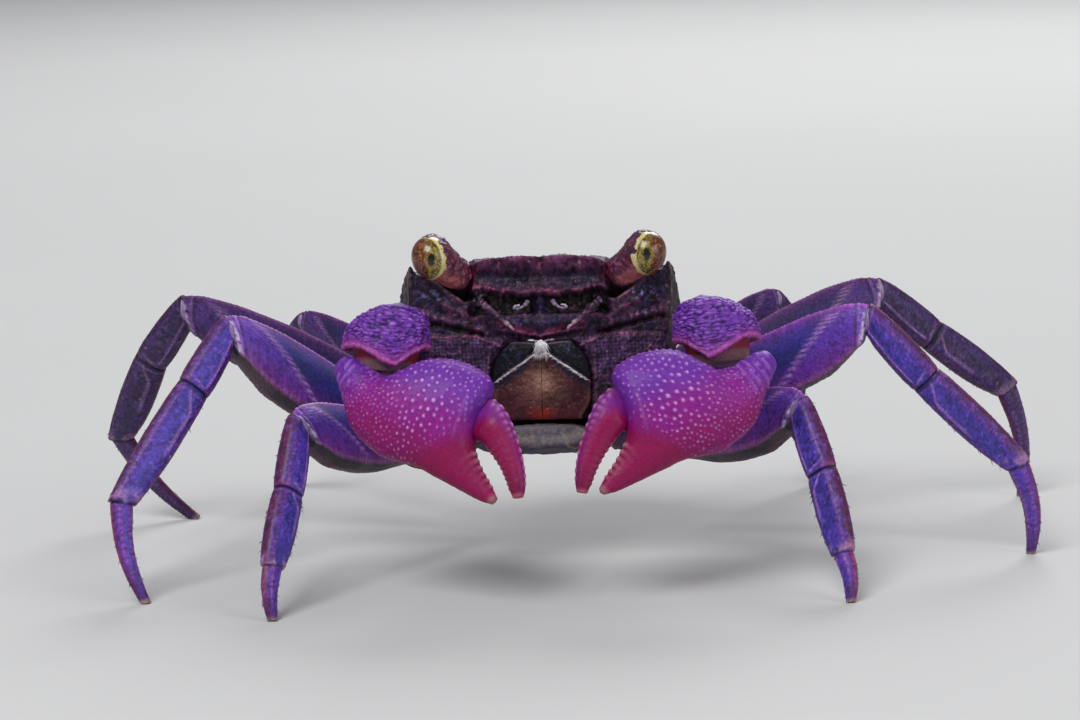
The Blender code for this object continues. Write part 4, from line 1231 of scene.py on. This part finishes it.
def shield(upper, flank):
    """The shield with its flanks: rings that start on the face's outline and close at the rear."""
    stations = np.concatenate([np.linspace(0, 3.2, 44)[:-1], np.linspace(3.2, 12.2, 92)])
    rings = []
    for back in stations:
        over, under, beside = section(back, upper, flank[1:])
        ring = np.concatenate([over, beside, under[::-1][1:], (beside * [-1, 1])[::-1][1:]])
        rings.append(np.column_stack([ring, np.full(len(ring), back)]))
    last = rings[-1]
    for angle in np.linspace(0, math.pi / 2, 34)[1:-1]:
        closer = (last[:, :2] - [0, REAR_MIDDLE]) * math.cos(angle) ** 0.5 + [0, REAR_MIDDLE]
        back = stations[-1] + (BODY_LENGTH + 0.03 - stations[-1]) * math.sin(angle)
        rings.append(np.column_stack([closer, np.full(len(last), back)]))
    x, up, back = np.moveaxis(np.array(rings), -1, 0)
    depth, front_tint = face_look(x, up)
    fade = np.clip(1 - back / 3.0, 0, 1)
    slant = FACE_SLANT * (1 - ease(back / 7.0))
    shell = body_points(x, back - slant * np.minimum(0.0, up) + depth * fade, up)
    is_top = np.arange(x.shape[1])[None] < len(upper)
    top_side = is_top * ease((half_width(back) + 0.05 - np.abs(x)) / 0.5)
    lift, tint = shell_look(x, back, up, top_side)
    tint += (front_tint - tint) * ease(1 - back / 0.8)[..., None]
    tube("carapace", raised(shell, lift * ease(back / 0.5)), tint, "shell",
         name="carapace_shield", open_start=True)


def carapace():
    """Face and shield, which meet along the front outline: the shield has every second point."""
    rows, columns = GRIDS["face"]
    across = np.linspace(-1, 1, columns)
    down = np.linspace(0, 1, rows) ** 0.9
    face(across, down)
    shield(across[::2], down[::2])


carapace()

# ---------------------------------------------------------------- mouth, eyes, feelers, underside

MOUTH_TOP, MOUTH_HEIGHT = -4.33, 4.0
LINE_HAIRS, TOP_HAIRS, TUFT_HAIRS = 190, 26, 200
MOUTH_HAIRS = []  # as the leg bristles
PLATE_POINT = 0.05  # how far the middle of a belly plate's end stands out


def hair_line(across):
    """Where the slanting hairy line crosses a flap, as a share of its height."""
    return 0.15 + 0.38 * np.clip((across - 0.25) / 2.3, 0, 1.1)


def mouth_flap(side, sign):
    """Third maxilliped: a dark rounded upper lobe, a slanting hairy line, a brown lower plate."""
    rows, columns = GRIDS["mouth"]
    s, r = np.meshgrid(np.linspace(-1, 1, columns), np.linspace(0, 1, rows))
    inner = 0.012 + 0.5 * below(r, 0.09, 0.09) ** 2
    outer = 2.62 - 1.12 * np.clip(1 - r / 0.5, 0, 1) ** 3 - 0.5 * above(r, 0.74, 0.26)
    across = (inner + outer) / 2 + (outer - inner) / 2 * s
    up = MOUTH_TOP - MOUTH_HEIGHT * r
    line = hair_line(across)
    upper = below(r, line, 0.04)
    # the lower plates meet softly in the middle
    meeting = (s < 0) * (1 - upper)
    rim = (1 - (1 - 0.85 * meeting) * np.abs(s) ** 6) * (1 - np.abs(2 * r - 1) ** 14)
    place = np.stack([across * sign, up, 0 * up], axis=-1)
    cloud = rough_noise(place, 0.5, 105)
    speck = rough_noise(place, 0.15, 107)
    lobe = bell(np.hypot(across - 1.4, (r - 0.17) * 3.4), 0.75) * upper
    tan = bell(np.hypot(across / 1.35, (r - 0.58) * 3.6), 0.8)
    bulge = (0.30 * rim ** 0.5 + 0.22 * lobe + 0.09 * bell(r - line, 0.02)
             - 0.08 * bell(r - line + 0.045, 0.018) + 0.10 * tan * (1 - upper)
             + 0.08 * bell(np.hypot(across - 1.55, (r - 0.66) * 3.0), 0.5)
             + 0.26 * (cloud - 0.5) * rim + 0.11 * (speck - 0.5) * rim)
    front = body_points(sign * across, -FACE_SLANT * up - 0.05 - bulge, up)
    under = ease((r - line - 0.01) / 0.03)
    dots = bell(np.hypot(across - 0.28, (r - 0.33) * 4.0), 0.13)
    colour = paint(
        across, "3a0e1e", ("541c2a", above(cloud, 0.45, 0.2) * 0.6),
        ("80584c", tan * 0.9), ("a07c6c", bell(np.hypot(across, (r - 0.5) * 4.2), 0.5) * 0.6),
        ("1c1634", band(r, line + 0.07, 0.08) * above(across, 0.4, 0.5) * 0.9),
        # painted sheen: bluish specks on the dark upper lobe
        ("0b0a18", upper), ("2a2c50", lobe * above(speck, 0.5, 0.2) * 0.6),
        ("8c6470", bell(r - 0.02 - 0.02 * (across - 1.3) ** 2, 0.012) * 0.5),
        ("8478a0", bell(r - line, 0.012) * 0.6), ("140c0c", dots * under * 0.8),
        ("8c2018", above(r, 0.80, 0.14) * bell(across, 0.7) * 0.85),
        ("6c4838", bell(across - outer + 0.12, 0.10) * above(r, 0.5, 0.2) * 0.7))
    colour *= (0.7 + 0.6 * speck)[..., None]
    back = body_points(sign * across[:, ::-1], -FACE_SLANT * up + 0.32, up)
    # painted shade: the back of the flap has the front's colours darkened to 0.4
    tube(f"maxilliped_{side}", np.concatenate([front, back], axis=1),
         np.concatenate([colour, colour[:, ::-1] * 0.4], axis=1), "mouth")
    flap_hairs(sign, front, inner[:, 0], outer[:, 0])


def flap_hairs(sign, front, inner, outer):
    """Hairs along a flap's slanting line and its top, and the tuft where the flaps meet."""
    rows, columns = GRIDS["mouth"]
    draw = np.random.default_rng(7 if sign < 0 else 8)

    def hair(root, way, spread, lengths, width, at, share):
        """One hair, with its place on the unrolled skin of its flap, half of the map."""
        way = unit(np.array(way) + draw.normal(0, spread, 3))
        on_skin = (0.5 * (sign > 0) + at / 6, share)
        MOUTH_HAIRS.append((root, way, draw.uniform(*lengths), width, on_skin))

    for _ in range(LINE_HAIRS):
        at = 0.25 + 2.25 * draw.random()
        share = hair_line(at)
        row = int(share * (rows - 1))
        column = int((at - inner[row]) / (outer[row] - inner[row]) * (columns - 1))
        root = front[row, min(column, columns - 2)] + draw.normal(0, 0.012, 3)
        hair(root, (-0.9 * sign, -0.25, 0.25), 0.16, (0.14, 0.26), 0.013, at, share)
    for _ in range(TOP_HAIRS):
        at = draw.uniform(0.1, 0.6)
        root = body_points(sign * at, -FACE_SLANT * MOUTH_TOP - 0.2, MOUTH_TOP + 0.12 * at)
        hair(root, (sign * 0.9, -0.3, 0.1), 0.25, (0.12, 0.22), 0.012, at, 0.02)
    for _ in range(TUFT_HAIRS):
        at = 0.28 * draw.random() ** 1.3
        share = draw.uniform(0, 0.14)
        level = -4.26 - MOUTH_HEIGHT * share - 0.5 * at
        root = body_points(sign * at, -FACE_SLANT * level - 0.34, level)
        way = (sign * draw.uniform(-0.15, 0.5), -0.30, -1.0)
        hair(root, way, 0.13, (0.25, 0.52), 0.017, at, share)


def belly_plate(name, table, sides, seams, seed):
    """A plate under the body with grooves across it between its segments."""
    table = np.array(table)
    back = np.linspace(table[0, 0], table[-1, 0], 96)
    wide, middle, thick = smooth_rows(table, back).T[..., None]
    x, y = superellipse(sides, 0.75)
    across = wide * x
    back = back[:, None] + 0 * across
    points = body_points(across, back, middle + thick * y)
    groove = sum(bell(back - seam, 0.07) for seam in seams)
    cloud = rough_noise(points, 0.6, seed)
    speck = rough_noise(points, 0.18, seed + 4)
    ahead = back - table[0, 0]
    seam = bell(across - 1.5 - 0.9 * (ahead - 0.5), 0.08) * below(ahead, 1.6, 0.6)
    lift = -0.09 * groove + 0.16 * (cloud - 0.5) + 0.08 * (speck - 0.5) + 0.03 * seam
    colour = paint(
        points, "3e344a", ("28244a", above(cloud, 0.45, 0.2) * 0.7),
        ("54303c", bell(cloud - 0.38, 0.08) * 0.6), ("7c7078", above(speck, 0.58, 0.1) * 0.5),
        ("8c8484", bell(ahead - 0.12, 0.14) * 0.8), ("8c7c74", seam * 0.8),
        ("1c141c", groove * 0.7))
    ends = (body_points(0.0, table[0, 0] - PLATE_POINT, table[0, 2]),
            body_points(0.0, table[-1, 0] + PLATE_POINT, table[-1, 2]))
    tube(name, raised(points, lift), colour, "belly", ends)


# Belly plates: place behind the front, half width, height, half thickness.
belly_plate("sternum", (
    (2.9, 1.6, -8.85, 0.25), (3.3, 2.7, -9.15, 0.68), (4.6, 3.7, -9.2, 0.76),
    (6.6, 4.0, -8.25, 0.8), (8.6, 4.4, -7.8, 0.85), (10.4, 4.1, -7.0, 0.95),
    (11.6, 3.4, -6.2, 0.95), (12.6, 2.5, -5.6, 0.6),
), 120, (4.9, 6.6, 8.2, 9.7), 111)
belly_plate("abdomen", (
    (5.9, 0.35, -9.55, 0.24), (6.5, 0.7, -9.46, 0.26), (7.4, 1.0, -9.36, 0.27),
    (9.0, 1.5, -8.98, 0.27), (10.8, 2.1, -8.35, 0.27), (12.2, 2.5, -7.4, 0.27),
    (12.75, 2.6, -6.75, 0.4), (12.95, 2.7, -6.2, 0.5), (13.05, 2.7, -5.4, 0.5),
), 80, (6.5, 7.6, 8.8, 10.0, 11.2, 12.2), 113)

EYE_TALL, EYE_WIDE = 1.17, 1.05
EYE_INSET = (1.16, 0.06, 0.03)  # from an eye's outer pole to its middle: along, aside and down
CORNEA_REACH = math.radians(100)
CUP = 1.05  # the stalk's cup against the cornea's size
CUP_BACK = 0.2  # how far its middle lies behind the cornea's
STALK_ROWS, CUP_ROWS = 50, 40


def cornea(side, sign, centre, facing, tall):
    """A ball taller than wide, with a cream rim, a speckled iris and a dark spot."""
    first = unit(np.cross(facing, tall))
    second = np.cross(first, facing)
    rows, columns = GRIDS["cornea"]
    turn = circle(columns)
    angle = np.linspace(0.02, CORNEA_REACH, rows)[:, None]

    def shaped(way, size):
        """A direction on the eye's ball, which is taller than wide."""
        stretch = (EYE_TALL / EYE_WIDE - 1) * (way @ tall)
        return (way + stretch[..., None] * tall) * EYE_WIDE * size

    ball = moved(0.0, (facing, np.cos(angle)), (first, np.sin(angle) * np.cos(turn)),
                 (second, np.sin(angle) * np.sin(turn)))
    points = centre + shaped(ball, 1.0)
    aside, high = ball[..., 0] * sign, ball @ tall
    cloud = rough_noise(points, 0.17, 121)
    speck = noise(points, 0.075, 125)
    streak = above(rough_noise(points * [1, 1, 0.5], 0.2, 127), 0.52, 0.1)
    rim = ease((angle + 0.10 * (cloud - 0.5) - 1.16) / 0.10)
    outer_half = ease((aside - 0.05 + 0.5 * (cloud - 0.5)) / 0.35)
    spot = np.hypot((aside + 0.02) / 0.17, (high + 0.02) / 0.25)
    colour = paint(
        points, "7c6c24", ("4c4410", above(cloud, 0.45, 0.15) * 0.8),
        ("b4a860", above(speck, 0.60, 0.12) * 0.8), ("141004", below(speck, 0.36, 0.1) * 0.8),
        ("5c2412", streak * 0.5), ("601c12", outer_half * 0.85),
        ("2c0c08", outer_half * below(cloud, 0.45, 0.1) * 0.6),
        ("b07850", above(speck, 0.68, 0.1) * outer_half * 0.6),
        ("a89040", bell(spot - 1.7, 0.3) * 0.4), ("d8cc88", rim * 0.95),
        ("040302", ease((1.2 + 0.6 * (cloud - 0.5) - spot) / 0.3)))
    tube(f"eye_{side}", points, colour, "cornea", (centre + shaped(facing, 1.0), centre))


def stalk(side, root, cup, tall):
    """A crimson and salmon stalk from its root to a cup that laps round the cornea."""
    turn = circle(GRIDS["cornea"][1])
    way = unit(cup - root)
    across = unit(np.cross(way, tall))
    length = np.linalg.norm(cup - root)
    radius = EYE_WIDE * CUP
    reach = np.concatenate([np.linspace(0, length, STALK_ROWS),
                            length + radius * np.linspace(0.02, 0.995, CUP_ROWS)])
    neck = smooth_rows(((0, 0.66), (0.5, 0.84), (0.6 * length, 0.92), (length, radius)),
                       np.minimum(reach, length))[:, 0]
    dome = np.sqrt(np.maximum(0.0, radius ** 2 - np.maximum(0.0, reach - length) ** 2))
    size = np.minimum(neck, dome)[:, None]
    reach = reach[:, None]
    points = swept(root + way * reach, across, np.cross(across, way),
                   size * np.cos(turn), size * np.sin(turn))
    stretch = (EYE_TALL / EYE_WIDE - 1) * ((points - cup) @ tall) * ease(reach / length)
    points = points + stretch[..., None] * tall
    normals = surface_normals(points)
    cloud = rough_noise(points, 0.3, 131)
    lift = 0.16 * (cloud - 0.5) + 0.05 * (noise(points, 0.12, 135) - 0.5)
    low = below(normals[..., 2], -0.15, 0.4) * ease(reach / 0.7)
    colour = paint(
        points, "54142e", ("2c1030", above(cloud, 0.5, 0.12) * 0.8),
        ("9c4470", above(noise(points, 0.13, 137), 0.6, 0.15) * 0.6),
        ("44204c", above(normals[..., 2], 0.4, 0.4) * 0.7), ("a8585a", low * 0.85),
        ("d8a0a0", low * above(reach, length, 0.8) * 0.6))
    tube(f"eyestalk_{side}", raised(points, lift), colour, "stalk")


def eye(side, sign):
    """An eye: the cornea, and the stalk that holds it."""
    stalk_root, stalk_end = nearer_first(poles(f"eyestalk_{side}"), BODY_ORIGIN)
    inner, outer = nearer_first(poles(f"eye_{side}"), stalk_end)
    along = unit(outer - inner)
    tall = unit([sign * 0.30, 0.10, 0.95])
    facing = unit([sign * 0.60, -0.80, 0.02])
    centre = outer - along * EYE_INSET[0] - X_AXIS * (sign * EYE_INSET[1]) - tall * EYE_INSET[2]
    cornea(side, sign, centre, facing, tall)
    stalk(side, stalk_root + along * 0.1, centre - facing * CUP_BACK, tall)


def rod(node, path, sizes, tones, seed, stands=True):
    """A small knobbly rod along a path, in two tones by its reach."""
    path = np.array(path, float)
    share = np.linspace(0, 1, len(path))
    rows, columns = GRIDS["rod"]
    t = np.linspace(0, 1, rows)
    values = smooth_rows(np.column_stack([share, path, sizes]), t)
    centres, size = values[:, :3], values[:, 3:]
    ahead = unit(np.gradient(centres, axis=0))
    across = unit(np.cross(ahead, [0.0, -1.0, 0.0]))
    turn = circle(columns)
    size = size * (0.72 + 0.36 * np.abs(np.sin(t * math.pi * 7)))[:, None]
    points = swept(centres, across, np.cross(across, ahead),
                   size * np.cos(turn), size * np.sin(turn))
    cloud = rough_noise(points, 0.22, seed)
    colour = paint(points, tones[0], (tones[1], above(cloud, 0.5, 0.14)),
                   (tones[2], above(t[:, None], 0.6, 0.2) * 0.8))
    tube(node, raised(points, 0.14 * (cloud - 0.5)), colour, "antenna", None, stands)


def feelers(side, sign):
    """The antenna beside the mouth frame, and the hooked antennule in its hollow."""
    inner, outer = sorted(poles(f"antenna_{side}"), key=lambda p: abs(p[0] - BODY_ORIGIN[0]))
    middle = (inner + outer) / 2
    rod(f"antenna_{side}", (outer, (outer * 2 + middle) / 3, middle, (inner + middle) / 2, inner),
        (0.21, 0.2, 0.15, 0.11, 0.07), ("381c38", "704868", "b898ac"), 141)
    path = [body_points(sign * x, -FACE_SLANT * up + 0.35 - out, up) for x, up, out in (
        (0.66, -2.15, 0.05), (0.74, -2.35, 0.16), (0.95, -2.53, 0.22), (1.22, -2.62, 0.25),
        (1.38, -2.56, 0.27), (1.28, -2.46, 0.30), (1.08, -2.44, 0.30))]
    rod(f"antennule_{side}", path, (0.13, 0.12, 0.09, 0.07, 0.06, 0.05, 0.035),
        ("8c7890", "6c5470", "c4b8cc"), 143, False)


for face_side, face_sign in (("left", -1.0), ("right", 1.0)):
    mouth_flap(face_side, face_sign)
    eye(face_side, face_sign)
    feelers(face_side, face_sign)

# ---------------------------------------------------------------- bristles

CORNERS = 9  # points of a bristle: three rings of three
PATCH_STEP = 0.0015  # between the corners of a bristle's patch of the map


def bristle_mesh(name, hairs, tint, seed):
    """Tapering three-sided bristles in one mesh, each with its own patch of the OFBake map."""
    roots, ways = np.array([h[0] for h in hairs]), np.array([h[1] for h in hairs])
    lengths, widths = np.array([h[2:4] for h in hairs]).T
    count = len(hairs)
    side = unit(np.cross(ways, [0.31, 0.17, 0.93]))
    other = np.cross(ways, side)
    places = []
    for share, thick in ((0.0, 1.0), (0.5, 0.72), (1.0, 0.12)):
        droop = np.array([0, 0, -0.12]) * (lengths * share ** 2)[:, None]
        for angle in np.radians([0, 120, 240]):
            ring = side * math.cos(angle) + other * math.sin(angle)
            places.append(roots + ways * (lengths * share)[:, None] + droop
                          + ring * (widths * thick)[:, None])
    points = np.stack(places, axis=1).reshape(-1, 3)
    first = CORNERS * np.arange(count)[:, None, None]
    quads = (grid_faces(3, 3)[None] + first).reshape(-1, 4)
    tris = (np.array([(6, 7, 8), (2, 1, 0)])[None] + first).reshape(-1, 3)
    shade = np.repeat(np.random.default_rng(seed).uniform(0.7, 1.2, count), CORNERS)[:, None]
    mesh = make(name, points, quads, tone(tint) * shade, "bristle", (), tris).data
    # each bristle's patch lies at its root's place on the unrolled skin of its own segment
    vertex = np.zeros(len(mesh.loops), np.int32)
    mesh.loops.foreach_get("vertex_index", vertex)
    hair, corner = vertex // CORNERS, vertex % CORNERS
    on_skin = 0.01 + 0.97 * np.array([h[4] for h in hairs])
    uv = on_skin[hair] + PATCH_STEP * np.stack([corner % 3, corner // 3], axis=-1)
    mesh.uv_layers.new(name="OFBake").data.foreach_set("uv", uv.astype(np.float32).ravel())


bristle_mesh("leg_bristles", BRISTLES, "5c3c50", 11)
bristle_mesh("mouth_hairs", MOUTH_HAIRS, "fcf8ff", 12)

# ---------------------------------------------------------------- floor, light and camera

FLOOR_HALF = 3.0
LAMP_SIZE = 0.26
LAMP_AIM = (0, 0, 0.008)


def floor():
    """A plain pale floor."""
    mesh = bpy.data.meshes.new("floor")
    mesh.from_pydata([(x * FLOOR_HALF, y * FLOOR_HALF, 0)
                      for x, y in ((-1, -1), (1, -1), (1, 1), (-1, 1))], [], [(0, 1, 2, 3)])
    made, tree, shader = new_material("floor")
    shader.inputs["Roughness"].default_value = 0.9
    shader.inputs["Specular IOR Level"].default_value = 0.1
    place = add_node(tree, "TexCoord")
    soft = add_node(tree, "TexNoise", {"Scale": 12.0})
    ramp = add_node(tree, "MapRange", {"To Min": 0.58, "To Max": 0.62})
    tree.links.new(place.outputs["Object"], soft.inputs["Vector"])
    tree.links.new(soft.outputs["Fac"], ramp.inputs["Value"])
    tree.links.new(ramp.outputs["Result"], shader.inputs["Base Color"])
    mesh.materials.append(made)
    obj = in_scene("floor", mesh)


def lamp(name, place, power):
    """A soft square light aimed at the crab, in metres and watts."""
    data = bpy.data.lights.new(name, "AREA")
    data.size = LAMP_SIZE
    data.energy = power
    made = in_scene(name, data)
    made.location = place
    way = Vector(LAMP_AIM) - Vector(place)
    made.rotation_euler = way.to_track_quat("-Z", "Y").to_euler()


CAMERA_DISTANCE = 180.0
CAMERA_RISE = math.radians(10)
CAMERA_ROLL = math.radians(1.3)
EYE_ABOVE_STALK = 0.92
BELOW_EYES = 5.76
FOCAL_LENGTH = 112.8  # on the default 36 mm sensor
SIDE_SHIFT = -0.0012
CLIPPING = (0.01, 20.0)


def camera():
    """The camera ten degrees above level, square to the crab's face."""
    middle = np.mean([poles(f"eyestalk_{side}") for side in ("left", "right")], axis=(0, 1))
    aim = BODY_ORIGIN * [1, 1, 0] + [0, 0, middle[2] + EYE_ABOVE_STALK - BELOW_EYES]
    away = np.array([0, -math.cos(CAMERA_RISE), math.sin(CAMERA_RISE)]) * CAMERA_DISTANCE
    data = bpy.data.cameras.new("camera")
    data.lens = FOCAL_LENGTH
    data.clip_start, data.clip_end = CLIPPING
    data.shift_x = SIDE_SHIFT
    made = in_scene("camera", data)
    turned = Vector(-away).to_track_quat("-Z", "Y").to_matrix().to_4x4()
    roll = Matrix.Rotation(-CAMERA_ROLL, 4, "Z")
    made.matrix_world = Matrix.Translation(Vector((aim + away) * MM)) @ turned @ roll
    bpy.context.scene.camera = made


floor()
lamp("key", (-0.16, -0.30, 0.42), 1.85)
lamp("fill", (0.34, -0.26, 0.16), 0.5)
lamp("back", (0.10, 0.36, 0.30), 1.2)
world = bpy.data.worlds.new("world")
bpy.context.scene.world = world
world.use_nodes = True
for socket, value in (("Color", (0.86, 0.88, 0.92, 1)), ("Strength", 0.28)):
    world.node_tree.nodes["Background"].inputs[socket].default_value = value
bpy.context.scene.view_settings.view_transform = "Standard"
camera()
